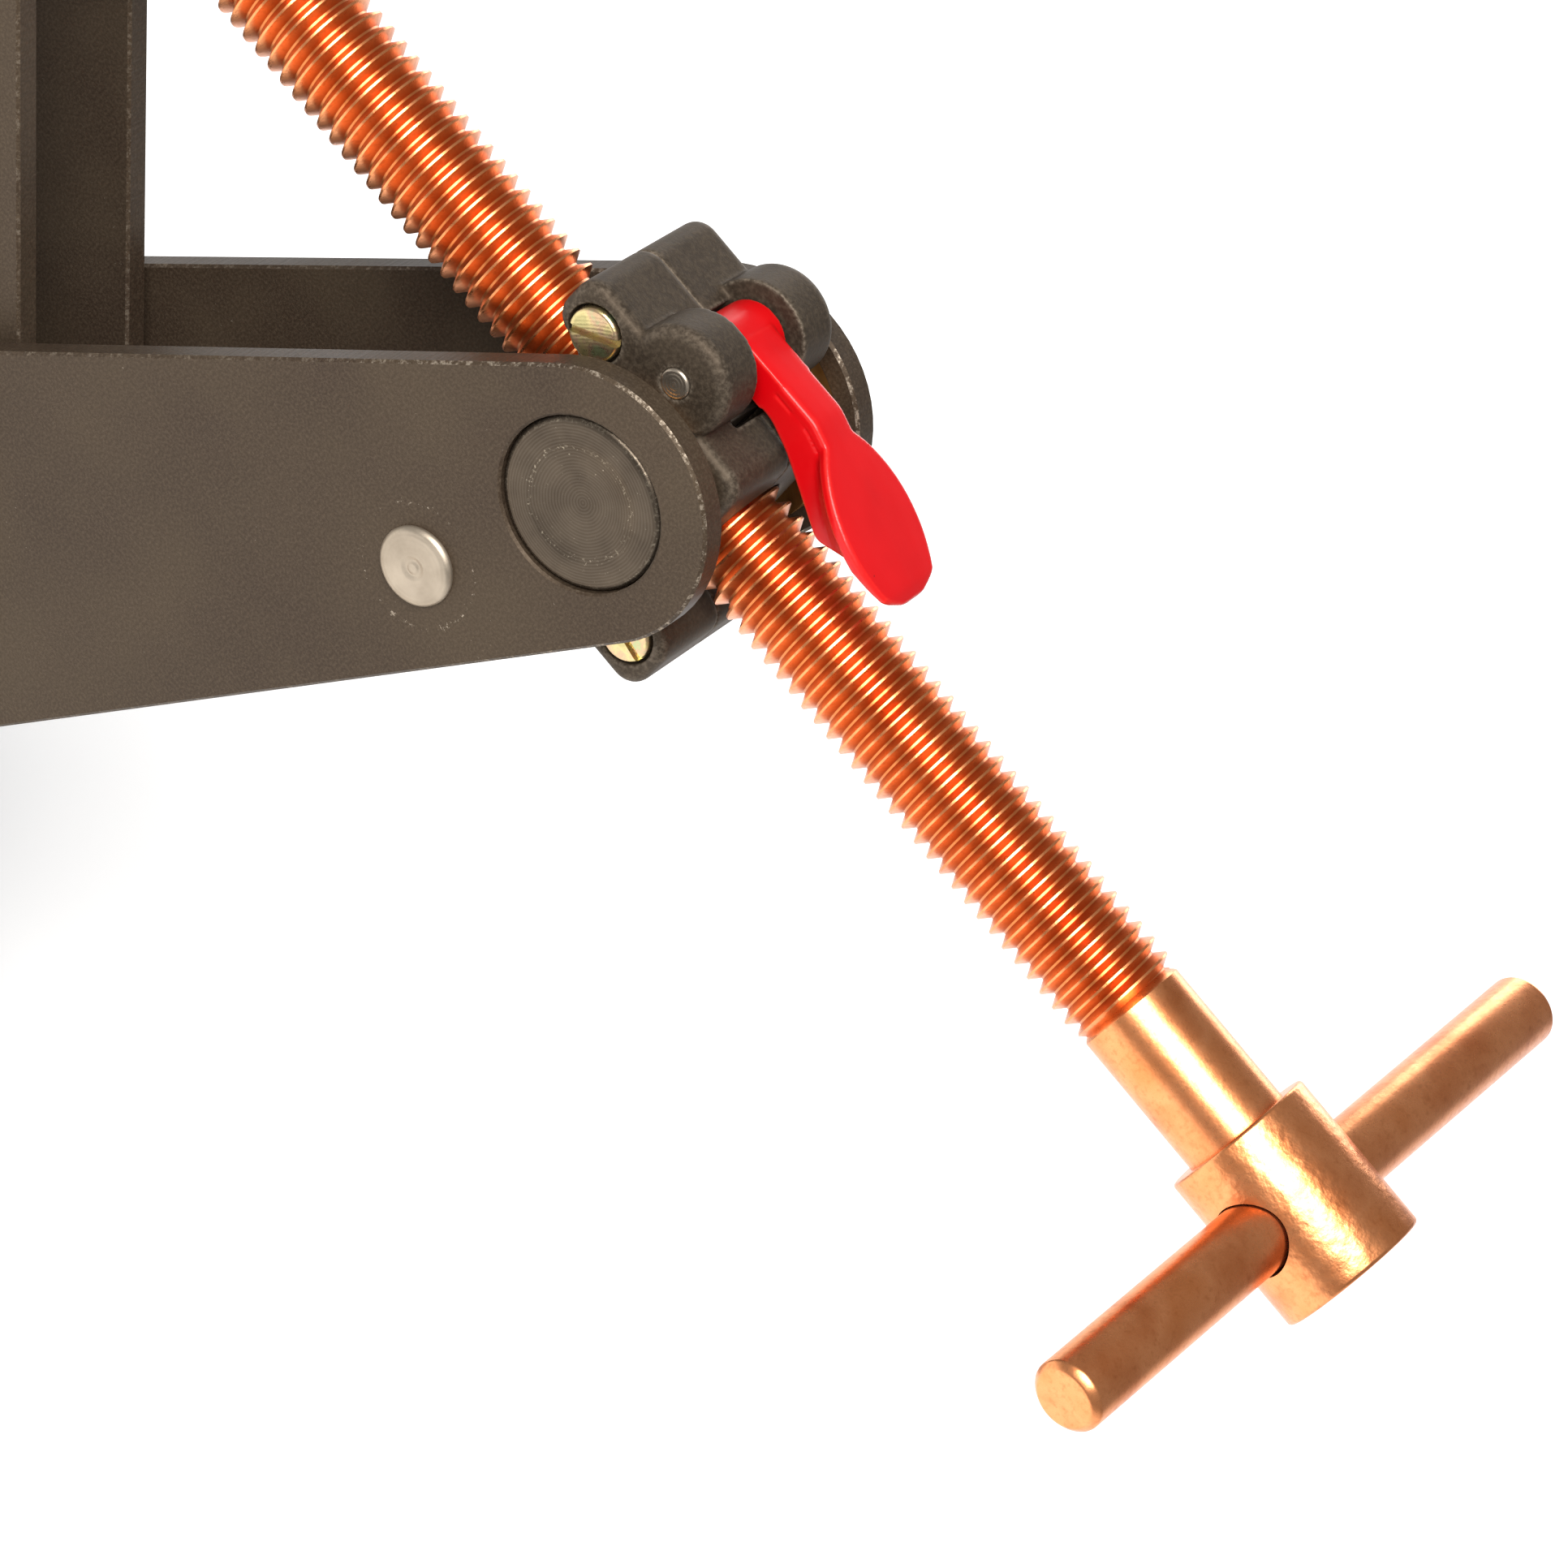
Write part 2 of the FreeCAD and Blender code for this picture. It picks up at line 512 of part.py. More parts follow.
# --- Quick release ------------------------------------------------------------------------
def lever_web():
    """Side outline of the lever: a level neck, a bend, and the web under the paddle."""
    top = pin_rise + NECK_TOP
    return at_trunnion([
        (LEVER_PIN_X, pin_rise + HUB_RADIUS, 0),
        (KINK_X, top, 6.0),
        (PADDLE_TIP, PADDLE_TIP_Z, 0.4),
        (PADDLE_TIP - 0.6, PADDLE_TIP_Z - PADDLE_THICK, 0.4),
        (WEB_X + 8.0, WEB_Z + 3.6, 6.0),
        (WEB_X, WEB_Z, 2.0),
        (KINK_X, pin_rise - 1.8, 12.0),
        (LEVER_PIN_X + HUB_RADIUS + 4.0, pin_rise, 6.0),
        (LEVER_PIN_X, pin_rise, 0),
    ])


def lever_paddle():
    """Leaf-shaped plate on the lever's end: two arcs in plan, and it slopes down to its tip."""
    def flank(side):
        points = [Vec(trunnion.x + x, side * half, 0) for x, half in
                  ((PADDLE_START, NECK_HALF), (PADDLE_MIDDLE, PADDLE_HALF), (PADDLE_TIP, PADDLE_TIP_HALF))]
        return Part.Arc(*points).toShape()

    front, rear = flank(-1), flank(1)
    start = Part.makeLine(Vec(trunnion.x + PADDLE_START, -NECK_HALF, 0),
                          Vec(trunnion.x + PADDLE_START, NECK_HALF, 0))
    tip = Part.makeLine(Vec(trunnion.x + PADDLE_TIP, -PADDLE_TIP_HALF, 0),
                        Vec(trunnion.x + PADDLE_TIP, PADDLE_TIP_HALF, 0))
    outline = Part.Wire(Part.sortEdges([front, tip, rear, start])[0])
    leaf = Part.Face(outline).extrude(Vec(0, 0, 2 * spindle_z))
    top = pin_rise + NECK_TOP
    band = at_trunnion([
        (KINK_X, top, 0),
        (PADDLE_TIP, PADDLE_TIP_Z, 0),
        (PADDLE_TIP, PADDLE_TIP_Z - PADDLE_THICK, 0),
        (KINK_X, top - PADDLE_THICK, 0),
    ])
    return leaf.common(slab(band, -2 * PADDLE_HALF, 2 * PADDLE_HALF))


def lever_cam():
    """Cam under the pin. Its radius falls by the half nut's travel over the lever's swing."""
    steps = 8
    nose = []
    for step in range(steps + 1):
        angle = math.radians(270.0 - RELEASE_ANGLE * step / steps)
        radius = CAM_RADIUS - NUT_LIFT * step / steps
        nose.append(lever_pin + Vec(radius * math.cos(angle), 0, radius * math.sin(angle)))
    curve = Part.BSplineCurve()
    curve.interpolate(nose)
    flank = lever_pin + Vec(HUB_RADIUS - 1.0, 0, -HUB_RADIUS / 2)
    edges = [curve.toShape(), Part.makeLine(nose[-1], lever_pin), Part.makeLine(lever_pin, flank),
             Part.makeLine(flank, nose[0])]
    face = Part.Face(Part.Wire(edges))
    face.translate(Vec(0, -LEVER_HALF, 0))
    return face.extrude(Vec(0, 2 * LEVER_HALF, 0))


def make_release():
    hub = rod(HUB_RADIUS, -LEVER_HALF, LEVER_HALF, lever_pin)
    lever = slab(lever_web(), -NECK_HALF, NECK_HALF).fuse([hub, lever_cam(), lever_paddle()])
    lever = lever.removeSplitter()
    lever = lever.cut(rod(LEVER_PIN_RADIUS + RUNNING_CLEARANCE, -LEVER_HALF, LEVER_HALF, lever_pin))
    save("release_lever", lever)

    high = nut_left + HALF_NUT_LONG
    nut = block(nut_left, high, -LEVER_HALF, LEVER_HALF, spindle_z + HALF_NUT_LOW,
                spindle_z + nut_top)
    wings = block(nut_left, high, -HALF_NUT_HALF, HALF_NUT_HALF, spindle_z + wing_low, spindle_z + wing_top)
    nut = nut.fuse(wings).removeSplitter()
    save("half_nut", nut.cut(bar(bore_radius, nut_left - 1, high + 1)))

    coils = []
    for side in (-1, 1):
        foot = Vec(nut_left + HALF_NUT_LONG / 2, side * SPRING_OFFSET,
                   spindle_z + wing_low - SPRING_LENGTH + SPRING_WIRE)
        rise = (SPRING_LENGTH - 2 * SPRING_WIRE - 0.05) / SPRING_TURNS
        helix = Part.makeHelix(rise, rise * SPRING_TURNS, SPRING_RADIUS)
        section = Part.Wire(Part.makeCircle(SPRING_WIRE, Vec(SPRING_RADIUS, 0, 0), Y_DIR))
        coil = Part.Wire(helix).makePipeShell([section], True, True)
        coil.translate(foot)
        coils.append(coil)
    save("nut_springs", group(coils))


# --- Spindle and its end block ------------------------------------------------------------
def make_spindle():
    block_left = far_trunnion.x - END_BLOCK_RADIUS
    block_right = far_trunnion.x + END_BLOCK_RADIUS
    shoulder = block_right + AXIAL_CLEARANCE
    washer_right = block_left - AXIAL_CLEARANCE
    nut_right = washer_right - END_WASHER_THICK
    nut_left_face = nut_right - NUT_HEIGHT
    thread_end = trunnion.x + THREAD_REACH
    boss_start = thread_end + SHANK_LENGTH
    boss_end = boss_start + BOSS_LENGTH
    spindle = bar(THREAD_RADIUS, shoulder, thread_end)
    spindle = spindle.makeChamfer(THREAD_CHAMFER, [spindle.Edges[0], spindle.Edges[2]])
    spindle = spindle.fuse(bar(SHANK_RADIUS, thread_end - 1, boss_start))
    boss = bar(BOSS_RADIUS, boss_start, boss_end)
    boss = boss.makeChamfer(BOSS_CHAMFER, [boss.Edges[0], boss.Edges[2]])
    journal = bar(JOURNAL_RADIUS, washer_right, shoulder)
    stud = bar(STUD_RADIUS, nut_left_face - STUD_END, washer_right)
    spindle = spindle.fuse([boss, journal, stud]).removeSplitter()

    bar_centre = Vec((boss_start + boss_end) / 2, 0, spindle_z)
    tilt = math.radians(CROSS_BAR_TILT)
    skew = math.radians(CROSS_BAR_SKEW)
    bar_dir = Vec(math.sin(skew), math.cos(skew) * math.cos(tilt), math.cos(skew) * math.sin(tilt))
    bar_start = bar_centre + bar_dir * (CROSS_BAR_SLIDE - CROSS_BAR_LENGTH / 2)
    cross_bar = Part.makeCylinder(CROSS_BAR_RADIUS, CROSS_BAR_LENGTH, bar_start, bar_dir)
    cross_bar = cross_bar.makeChamfer(CROSS_BAR_CHAMFER, [cross_bar.Edges[0], cross_bar.Edges[2]])
    spindle = spindle.cut(Part.makeCylinder(CROSS_BAR_RADIUS, CROSS_BAR_LENGTH, bar_start, bar_dir))

    pin_at = Vec(nut_left_face + NUT_HEIGHT * 0.3, 0, spindle_z)
    hole = Part.makeCylinder(SPLIT_PIN_RADIUS, 2 * NUT_ACROSS_FLATS, pin_at - Vec(0, 0, NUT_ACROSS_FLATS))
    spindle = spindle.cut(hole)
    save("spindle", spindle)
    save("cross_bar", cross_bar)

    corner = NUT_ACROSS_FLATS / math.sqrt(3)
    points = [Vec(nut_left_face, corner * math.cos(math.radians(60 * k)),
                  spindle_z + corner * math.sin(math.radians(60 * k))) for k in range(7)]
    nut = Part.Face(Part.makePolygon(points)).extrude(Vec(NUT_HEIGHT, 0, 0))
    nut = nut.cut(bar(STUD_RADIUS, nut_left_face, nut_right)).cut(hole)
    save("spindle_nut", nut)
    washer = bar(END_WASHER_RADIUS, nut_right, washer_right).cut(bar(STUD_RADIUS, nut_right, washer_right))
    save("spindle_washer", washer)
    pin_half = NUT_ACROSS_FLATS / 2 + FREE_CLEARANCE
    split_pin = Part.makeCylinder(SPLIT_PIN_RADIUS, 2 * pin_half, pin_at - Vec(0, 0, pin_half))
    eye = Part.makeCylinder(SPLIT_PIN_EYE, SPLIT_PIN_HEAD, pin_at + Vec(0, 0, pin_half))
    save("split_pin", split_pin.fuse(eye).removeSplitter())


def make_end_block():
    """Swivel for the spindle's far end: round, with a pin into each inner plate."""
    half = INNER_GAP / 2 - AXIAL_CLEARANCE
    end = rod(END_BLOCK_RADIUS, -half, half, far_trunnion)
    flat = END_BLOCK_RADIUS + 2
    left = far_trunnion.x - END_BLOCK_RADIUS
    right = far_trunnion.x + END_BLOCK_RADIUS
    end = end.fuse(block(left, right, -half, half, spindle_z - END_BLOCK_HALF,
                          spindle_z + END_BLOCK_HALF))
    end = end.fuse(rod(END_PIN_RADIUS, -inner_face, inner_face, far_trunnion)).removeSplitter()
    end = end.cut(bar(JOURNAL_RADIUS + RUNNING_CLEARANCE, left - flat, right + flat))
    save("end_block", end)


make_arm("outer", OUTER_GAP, TRUNNION_RADIUS + 2 * RUNNING_CLEARANCE, BUSH_RADIUS, lambda shape: shape)
make_arm("inner", INNER_GAP, END_PIN_RADIUS + RUNNING_CLEARANCE, BUSH_RADIUS + RUNNING_CLEARANCE, mirror_x)
make_pivot()
make_housing()
make_release()
make_spindle()
make_end_block()
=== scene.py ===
# %% [markdown]
# # A scissor beam clamp, finished in Blender
# The clamp already exists as a solid model: twin-plate arms that cross at a pivot, hooked jaws, and
# a screw spindle in a quick-release nut housing. This lesson loads that model as a fixed frame and
# gives every piece its real surface. A piece whose shape is already right keeps its mesh and only
# gets a material. The thread, the castings, the lever and the turned and riveted pieces are made
# again here, in the same place and at the same size, with the shape detail that light picks out.

# %% Load the frame
import math
import bpy
import bmesh
from mathutils import Matrix, Vector


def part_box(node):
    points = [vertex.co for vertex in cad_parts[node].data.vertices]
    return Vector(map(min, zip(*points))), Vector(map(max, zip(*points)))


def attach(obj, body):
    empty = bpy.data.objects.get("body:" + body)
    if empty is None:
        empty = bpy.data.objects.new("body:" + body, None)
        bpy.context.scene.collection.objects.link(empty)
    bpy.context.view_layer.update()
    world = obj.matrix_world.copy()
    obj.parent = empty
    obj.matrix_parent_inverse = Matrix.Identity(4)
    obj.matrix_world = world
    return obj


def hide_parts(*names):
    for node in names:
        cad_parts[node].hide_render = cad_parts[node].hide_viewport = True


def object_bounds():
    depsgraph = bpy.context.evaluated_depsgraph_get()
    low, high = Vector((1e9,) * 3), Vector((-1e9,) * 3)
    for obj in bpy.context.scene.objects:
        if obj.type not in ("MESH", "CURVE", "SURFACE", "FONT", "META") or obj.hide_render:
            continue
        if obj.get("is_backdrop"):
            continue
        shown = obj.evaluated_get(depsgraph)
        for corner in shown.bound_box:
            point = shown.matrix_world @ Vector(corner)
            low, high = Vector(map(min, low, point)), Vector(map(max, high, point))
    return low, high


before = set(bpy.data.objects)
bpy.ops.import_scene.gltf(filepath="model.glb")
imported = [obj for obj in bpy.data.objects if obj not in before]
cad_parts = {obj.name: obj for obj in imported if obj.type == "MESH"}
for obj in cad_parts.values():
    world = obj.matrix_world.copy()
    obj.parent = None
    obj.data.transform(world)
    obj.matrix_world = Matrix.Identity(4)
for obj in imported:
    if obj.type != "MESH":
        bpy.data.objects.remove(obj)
cad_low, cad_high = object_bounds()
MM = 0.001
print("solid model, mm:", [round((b - a) / MM, 1) for a, b in zip(cad_low, cad_high)])


# %% [markdown]
# Places come from the frame, so that a piece still fits if the solid model changes. The middle of a
# round node's box lies on its axis, and most pieces are made about one of these few axes.

# %% Axes taken from the frame
def centre(node):
    low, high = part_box(node)
    return (low + high) / 2


def reach(node):
    """Half the box's size along X, which is a round node's radius."""
    low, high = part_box(node)
    return (high.x - low.x) / 2


TRUNNION = centre("trunnion_front")
AXIS_Z = TRUNNION.z
LEVER_PIN = centre("lever_pin")
RIVET = centre("outer_spacer_rivet")
END_BLOCK = centre("end_block")
print("trunnion axis, mm:", [round(v / MM, 2) for v in TRUNNION.xz])


# %% [markdown]
# ## Camera, light and floor
# The clamp is seen from the front and above with a long lens, and the camera is rolled so that the
# right-hand arm lies nearly level. A roll is the last turn, about the lens's own axis, so the
# matrix is azimuth, then elevation, then roll.

# %% Camera
AIM = Vector((TRUNNION.x + 50.3 * MM, 0.0, AXIS_Z - 24.8 * MM))
AZIMUTH, ELEVATION, ROLL = (math.radians(a) for a in (3.78, 39.71, 47.80))
DISTANCE = 0.888
turn = (Matrix.Rotation(AZIMUTH, 4, "Z") @ Matrix.Rotation(math.pi / 2 - ELEVATION, 4, "X")
        @ Matrix.Rotation(ROLL, 4, "Z"))
lens = bpy.data.cameras.new("camera")
lens.sensor_width = 36.0
lens.lens = 130.4
camera = bpy.data.objects.new("camera", lens)
camera.matrix_world = Matrix.Translation(AIM) @ turn @ Matrix.Translation((0, 0, DISTANCE))
bpy.context.scene.collection.objects.link(camera)
bpy.context.scene.camera = camera


# %% [markdown]
# Metal shows what is round it, so the light is designed as a set of shapes to reflect. One large
# soft box hangs above the camera and makes the long highlight down the middle of the spindle. The
# world behind it stays a dim grey, which gives the copper its dark, saturated flanks and leaves the
# cross bar without a highlight. A weak fill stands low behind, for the far side. The floor is pale
# and glows a little, so it lights the undersides. Away from the box it grows darker, and round bars
# reflect that as a dark band.

# %% Lights
def soft_box(name, place, target, width, height, power, tint=(1.0, 1.0, 1.0)):
    """A rectangular area light at a place in metres, facing its target."""
    data = bpy.data.lights.new(name, "AREA")
    data.shape = "RECTANGLE"
    data.size, data.size_y, data.energy, data.color = width, height, power, tint
    lamp = bpy.data.objects.new(name, data)
    facing = (Vector(place) - Vector(target)).to_track_quat("Z", "Y")
    lamp.matrix_world = Matrix.Translation(place) @ facing.to_matrix().to_4x4()
    bpy.context.scene.collection.objects.link(lamp)


soft_box("key_box", (0.02, -0.80, 1.15), AIM, 0.9, 0.75, 38, (1.0, 0.98, 0.96))
soft_box("rear_fill", (-0.30, 1.60, 0.28), AIM, 1.3, 0.7, 12)

world = bpy.data.worlds.new("studio")
world.use_nodes = True
backdrop = world.node_tree.nodes["Background"].inputs
backdrop["Color"].default_value = (1.0, 1.0, 1.0, 1.0)
backdrop["Strength"].default_value = 0.36
bpy.context.scene.world = world
bpy.context.scene.view_settings.view_transform = "Standard"


# %% [markdown]
# ## One helper for nodes
# Swatches give sRGB hex values, but a shader works in linear light, so one function turns them. The
# other helper adds any node: its settings, its inputs as numbers, hex colours or links, and for a
# colour ramp its stops. It returns one output, ready to link. A pattern's size is given in real
# millimetres: Object coordinates here are metres, so a texture scale of 1000/s has features about
# s millimetres across.

# %% Material helpers
def srgb(code):
    """Linear RGBA from a hex colour."""
    channels = [int(code[i:i + 2], 16) / 255 for i in (1, 3, 5)]
    return (*(c / 12.92 if c <= 0.04045 else ((c + 0.055) / 1.055) ** 2.4 for c in channels), 1.0)


def add(tree, kind, inputs=None, out=0, stops=None, **settings):
    """One node with its settings, inputs and ramp stops. Returns the chosen output."""
    node = tree.nodes.new(kind)
    for key, value in settings.items():
        setattr(node, key, value)
    for key, value in (inputs or {}).items():
        if isinstance(value, bpy.types.NodeSocket):
            tree.links.new(value, node.inputs[key])
        else:
            node.inputs[key].default_value = srgb(value) if isinstance(value, str) else value
    for i, (place, tone) in enumerate(stops or []):
        elements = node.color_ramp.elements
        element = elements[i] if i < 2 else elements.new(place)
        element.position = place
        element.color = srgb(tone) if isinstance(tone, str) else (tone, tone, tone, 1.0)
    return node.outputs[out] if node.outputs else None


NOISE, RAMP, MATH = "ShaderNodeTexNoise", "ShaderNodeValToRGB", "ShaderNodeMath"
MIX, BUMP, VECTOR = "ShaderNodeMix", "ShaderNodeBump", "ShaderNodeVectorMath"


def per_mm(millimetres):
    """Texture scale for a feature of this size."""
    return 1000.0 / millimetres


def new_material(name):
    """A material with an empty shader. Returns it with its tree, shader and Object coordinates."""
    material = bpy.data.materials.new(name)
    material.use_nodes = True
    tree = material.node_tree
    tree.nodes.clear()
    shader = tree.nodes.new("ShaderNodeBsdfPrincipled")
    add(tree, "ShaderNodeOutputMaterial", {"Surface": shader.outputs[0]})
    return material, tree, shader, add(tree, "ShaderNodeTexCoord", out="Object")


def set_look(tree, shader, **looks):
    """Links or sets the shader's sockets by name."""
    for key, value in looks.items():
        socket = shader.inputs[key.replace("_", " ")]
        if isinstance(value, bpy.types.NodeSocket):
            tree.links.new(value, socket)
        else:
            socket.default_value = value


# %% [markdown]
# Two masks are used by several finishes. A small bevel round a plate or a disc has a normal that
# leans partly along Y, which a flat face's or a wall's doesn't, so the lean finds the edges that
# rub bright. The distance from an axis along Y finds rings: tool marks, and the chafing round a
# rivet.

# %% Masks from shape
WARM = srgb("#f2d9bf")


def lean(tree):
    """How far the surface's normal points along the pivot's direction, from 0 to 1."""
    normal = add(tree, "ShaderNodeTexCoord", out="Normal")
    return add(tree, MATH, {0: add(tree, "ShaderNodeSeparateXYZ", {0: normal}, out="Y")},
               operation="ABSOLUTE")


def bevel_mask(tree):
    """White on bevels, black on faces and walls."""
    return add(tree, RAMP, {0: lean(tree)},
               stops=[(0.25, 0.0), (0.4, 1.0), (0.9, 1.0), (0.97, 0.0)])


def axis_distance(tree, at, axis):
    """Distance in metres from an axis along Y. Both arms match, because X is taken as positive."""
    folded = add(tree, VECTOR, {0: at}, operation="ABSOLUTE")
    flat = add(tree, VECTOR, {0: folded, 1: (1.0, 0.0, 1.0)}, operation="MULTIPLY")
    return add(tree, VECTOR, {0: flat, 1: (abs(axis.x), 0.0, abs(axis.z))}, out=1,
               operation="DISTANCE")


# %% [markdown]
# ## Blackened plate steel
# The arms are laser-cut plates with a thin black-brown oxide coat and a trace of oil. To the eye
# that is a satin, slightly warm black with a fine even tooth, faint clouding and pale flecks, and
# bright steel where the coat has rubbed off the bevels. The tooth is drawn a little coarser than
# it is, so that it shows. The walls keep the fine lines that the laser leaves across the plate's
# thickness: that is noise squeezed in X and Z and drawn long in Y.

# %% Blackened plate material
CHAFE_RADIUS = 10.5 * MM     # ring rubbed round the spacer rivet


def blackened_plate():
    material, tree, shader, at = new_material("blackened_plate_steel")
    cloud = add(tree, NOISE, {"Vector": at, "Scale": per_mm(26), "Detail": 4.0})
    coat = add(tree, RAMP, {0: cloud}, stops=[(0.32, "#281f18"), (0.68, "#342b21")])
    tooth = add(tree, NOISE, {"Vector": at, "Scale": per_mm(0.5), "Detail": 3.0, "Roughness": 0.7})
    grain = add(tree, RAMP, {0: tooth}, stops=[(0.42, 0.0), (0.8, 0.5)])
    coat = add(tree, MIX, {0: grain, 6: coat, 7: "#574b3e"}, out=2, data_type="RGBA")

    chips = add(tree, NOISE, {"Vector": at, "Scale": per_mm(0.9), "Detail": 5.0, "Roughness": 0.75})
    rubbed = add(tree, RAMP, {0: chips}, stops=[(0.5, 0.0), (0.68, 0.8)])
    near_end = add(tree, MATH, {0: axis_distance(tree, at, TRUNNION), 1: per_mm(100)},
                   operation="MULTIPLY")
    near_end = add(tree, RAMP, {0: near_end},
                   stops=[(0.16, 0.1), (0.2, 1.0), (0.26, 1.0), (0.5, 0.3)])
    rubbed = add(tree, MATH, {0: near_end, 1: rubbed}, operation="MULTIPLY")
    rubbed = add(tree, MATH, {0: bevel_mask(tree), 1: rubbed}, operation="MULTIPLY")
    ring = add(tree, MATH, {0: axis_distance(tree, at, RIVET), 1: CHAFE_RADIUS},
               operation="SUBTRACT")
    ring = add(tree, MATH, {0: ring}, operation="ABSOLUTE")
    chafed = add(tree, RAMP, {0: add(tree, MATH, {0: ring, 1: per_mm(1)}, operation="MULTIPLY")},
                 stops=[(0.0, 0.13), (1.0, 0.0)])
    patches = add(tree, NOISE, {"Vector": at, "Scale": per_mm(14), "Detail": 2.0})
    patches = add(tree, RAMP, {0: patches}, stops=[(0.5, 0.0), (0.75, 0.09)])
    where = add(tree, MATH, {0: chafed, 1: patches}, operation="ADD")
    flecks = add(tree, MATH, {0: chips, 1: where}, operation="ADD")
    flecks = add(tree, RAMP, {0: flecks}, stops=[(0.72, 0.0), (0.78, 0.75)])
    worn = add(tree, MATH, {0: rubbed, 1: flecks}, operation="MAXIMUM")
    colour = add(tree, MIX, {0: worn, 6: coat, 7: "#a79b8b"}, out=2, data_type="RGBA")

    sheen = add(tree, RAMP, {0: cloud}, stops=[(0.3, 0.44), (0.7, 0.54)])
    lines = add(tree, "ShaderNodeMapping", {0: at, "Scale": (1.0, 0.06, 1.0)})
    lines = add(tree, NOISE, {"Vector": lines, "Scale": per_mm(0.8), "Detail": 2.0})
    wall = add(tree, RAMP, {0: lean(tree)}, stops=[(0.1, 1.0), (0.3, 0.0)])
    cut = add(tree, BUMP, {"Height": lines, "Distance": 0.08 * MM, "Strength": wall})
    rough = add(tree, BUMP, {"Height": tooth, "Distance": 0.035 * MM, "Strength": 0.6,
                             "Normal": cut})
    set_look(tree, shader, Base_Color=colour, Metallic=worn, Roughness=sheen, Normal=rough,
             Specular_IOR_Level=0.28, Specular_Tint=WARM)
    return material


PLATE = blackened_plate()


# %% [markdown]
# ## Turned steel
# The trunnions, the pins and the washers come off a lathe, so their faces carry concentric tool
# marks. The marks are a sine of the distance from the piece's axis, disturbed a little so that they
# don't look printed. Each piece gives its own axis, tones and mark spacing. A piece that is
# repeated carries its distance from its own middle instead, in a value named from_middle.

# %% Turned steel material
def turned_steel(name, axis, tones, marks_mm=0.5, roughness=0.42, metallic=0.5, fleck_ring=None,
                 marks_depth=0.005):
    material, tree, shader, at = new_material(name)
    wobble = add(tree, NOISE, {"Vector": at, "Scale": per_mm(7), "Detail": 3.0})
    if axis is None:
        distance = add(tree, "ShaderNodeAttribute", out="Fac", attribute_name="from_middle")
    else:
        distance = axis_distance(tree, at, axis)
    radius = add(tree, MATH, {0: wobble, 1: 0.9 * MM, 2: distance}, operation="MULTIPLY_ADD")
    marks = add(tree, MATH, {0: radius, 1: 2 * math.pi * per_mm(marks_mm)}, operation="MULTIPLY")
    marks = add(tree, MATH, {0: marks}, operation="SINE")
    fine = add(tree, NOISE, {"Vector": at, "Scale": per_mm(0.6), "Detail": 4.0, "Roughness": 0.7})
    cloud = add(tree, NOISE, {"Vector": at, "Scale": per_mm(5), "Detail": 4.0})
    coat = add(tree, RAMP, {0: cloud}, stops=[(0.3, tones[0]), (0.72, tones[1])])
    streak = add(tree, MATH, {0: marks, 1: 0.03, 2: 0.04}, operation="MULTIPLY_ADD")
    coat = add(tree, MIX, {0: streak, 6: coat, 7: "#a2988a"}, out=2, data_type="RGBA")
    chips = add(tree, RAMP, {0: fine}, stops=[(0.52, 0.0), (0.75, 0.4)])
    worn = add(tree, MATH, {0: bevel_mask(tree), 1: chips}, operation="MULTIPLY")
    if fleck_ring is not None:
        off = add(tree, MATH, {0: radius, 1: fleck_ring}, operation="SUBTRACT")
        off = add(tree, MATH, {0: off}, operation="ABSOLUTE")
        off = add(tree, MATH, {0: off, 1: 1.2 * per_mm(1)}, operation="MULTIPLY")
        band = add(tree, RAMP, {0: off}, stops=[(0.1, 0.12), (0.9, 0.0)])
        band = add(tree, MATH, {0: fine, 1: band}, operation="ADD")
        band = add(tree, RAMP, {0: band}, stops=[(0.66, 0.0), (0.78, 0.7)])
        worn = add(tree, MATH, {0: worn, 1: band}, operation="MAXIMUM")
    colour = add(tree, MIX, {0: worn, 6: coat, 7: "#b4a894"}, out=2, data_type="RGBA")
    sheen = add(tree, RAMP, {0: cloud}, stops=[(0.3, roughness - 0.06), (0.7, roughness + 0.06)])
    grain = add(tree, BUMP, {"Height": fine, "Distance": 0.03 * MM, "Strength": 0.4})
    turned = add(tree, BUMP, {"Height": marks, "Distance": marks_depth * MM, "Strength": 0.5,
                              "Normal": grain})
    set_look(tree, shader, Base_Color=colour, Metallic=metallic, Roughness=sheen, Normal=turned,
             Specular_IOR_Level=0.35, Specular_Tint=WARM)
    return material


ORIGIN = Vector((0.0, 0.0, 0.0))
TRUNNION_STEEL = turned_steel("blackened_trunnion_steel", TRUNNION, ("#3a322a", "#4c4339"),
                              roughness=0.34, metallic=0.85, fleck_ring=9.6 * MM)
PIVOT_STEEL = turned_steel("oiled_pivot_steel", ORIGIN, ("#5d5850", "#736d64"), 0.4, 0.36, 0.85)
END_STEEL = turned_steel("blackened_end_block", END_BLOCK, ("#39322b", "#4a4239"))
PIN_STEEL = turned_steel("bare_pin_steel", LEVER_PIN, ("#94897b", "#b0a596"), 0.6, 0.35, 0.9,
                         marks_depth=0.03)
RIVET_STEEL = turned_steel("zinc_rivet_steel", None, ("#8d8273", "#a99d8d"), 0.8, 0.42, 0.8,
                           marks_depth=0.02)
BRONZE = turned_steel("bearing_bronze", ORIGIN, ("#8f6534", "#a97e45"), 0.5, 0.35, 0.95)
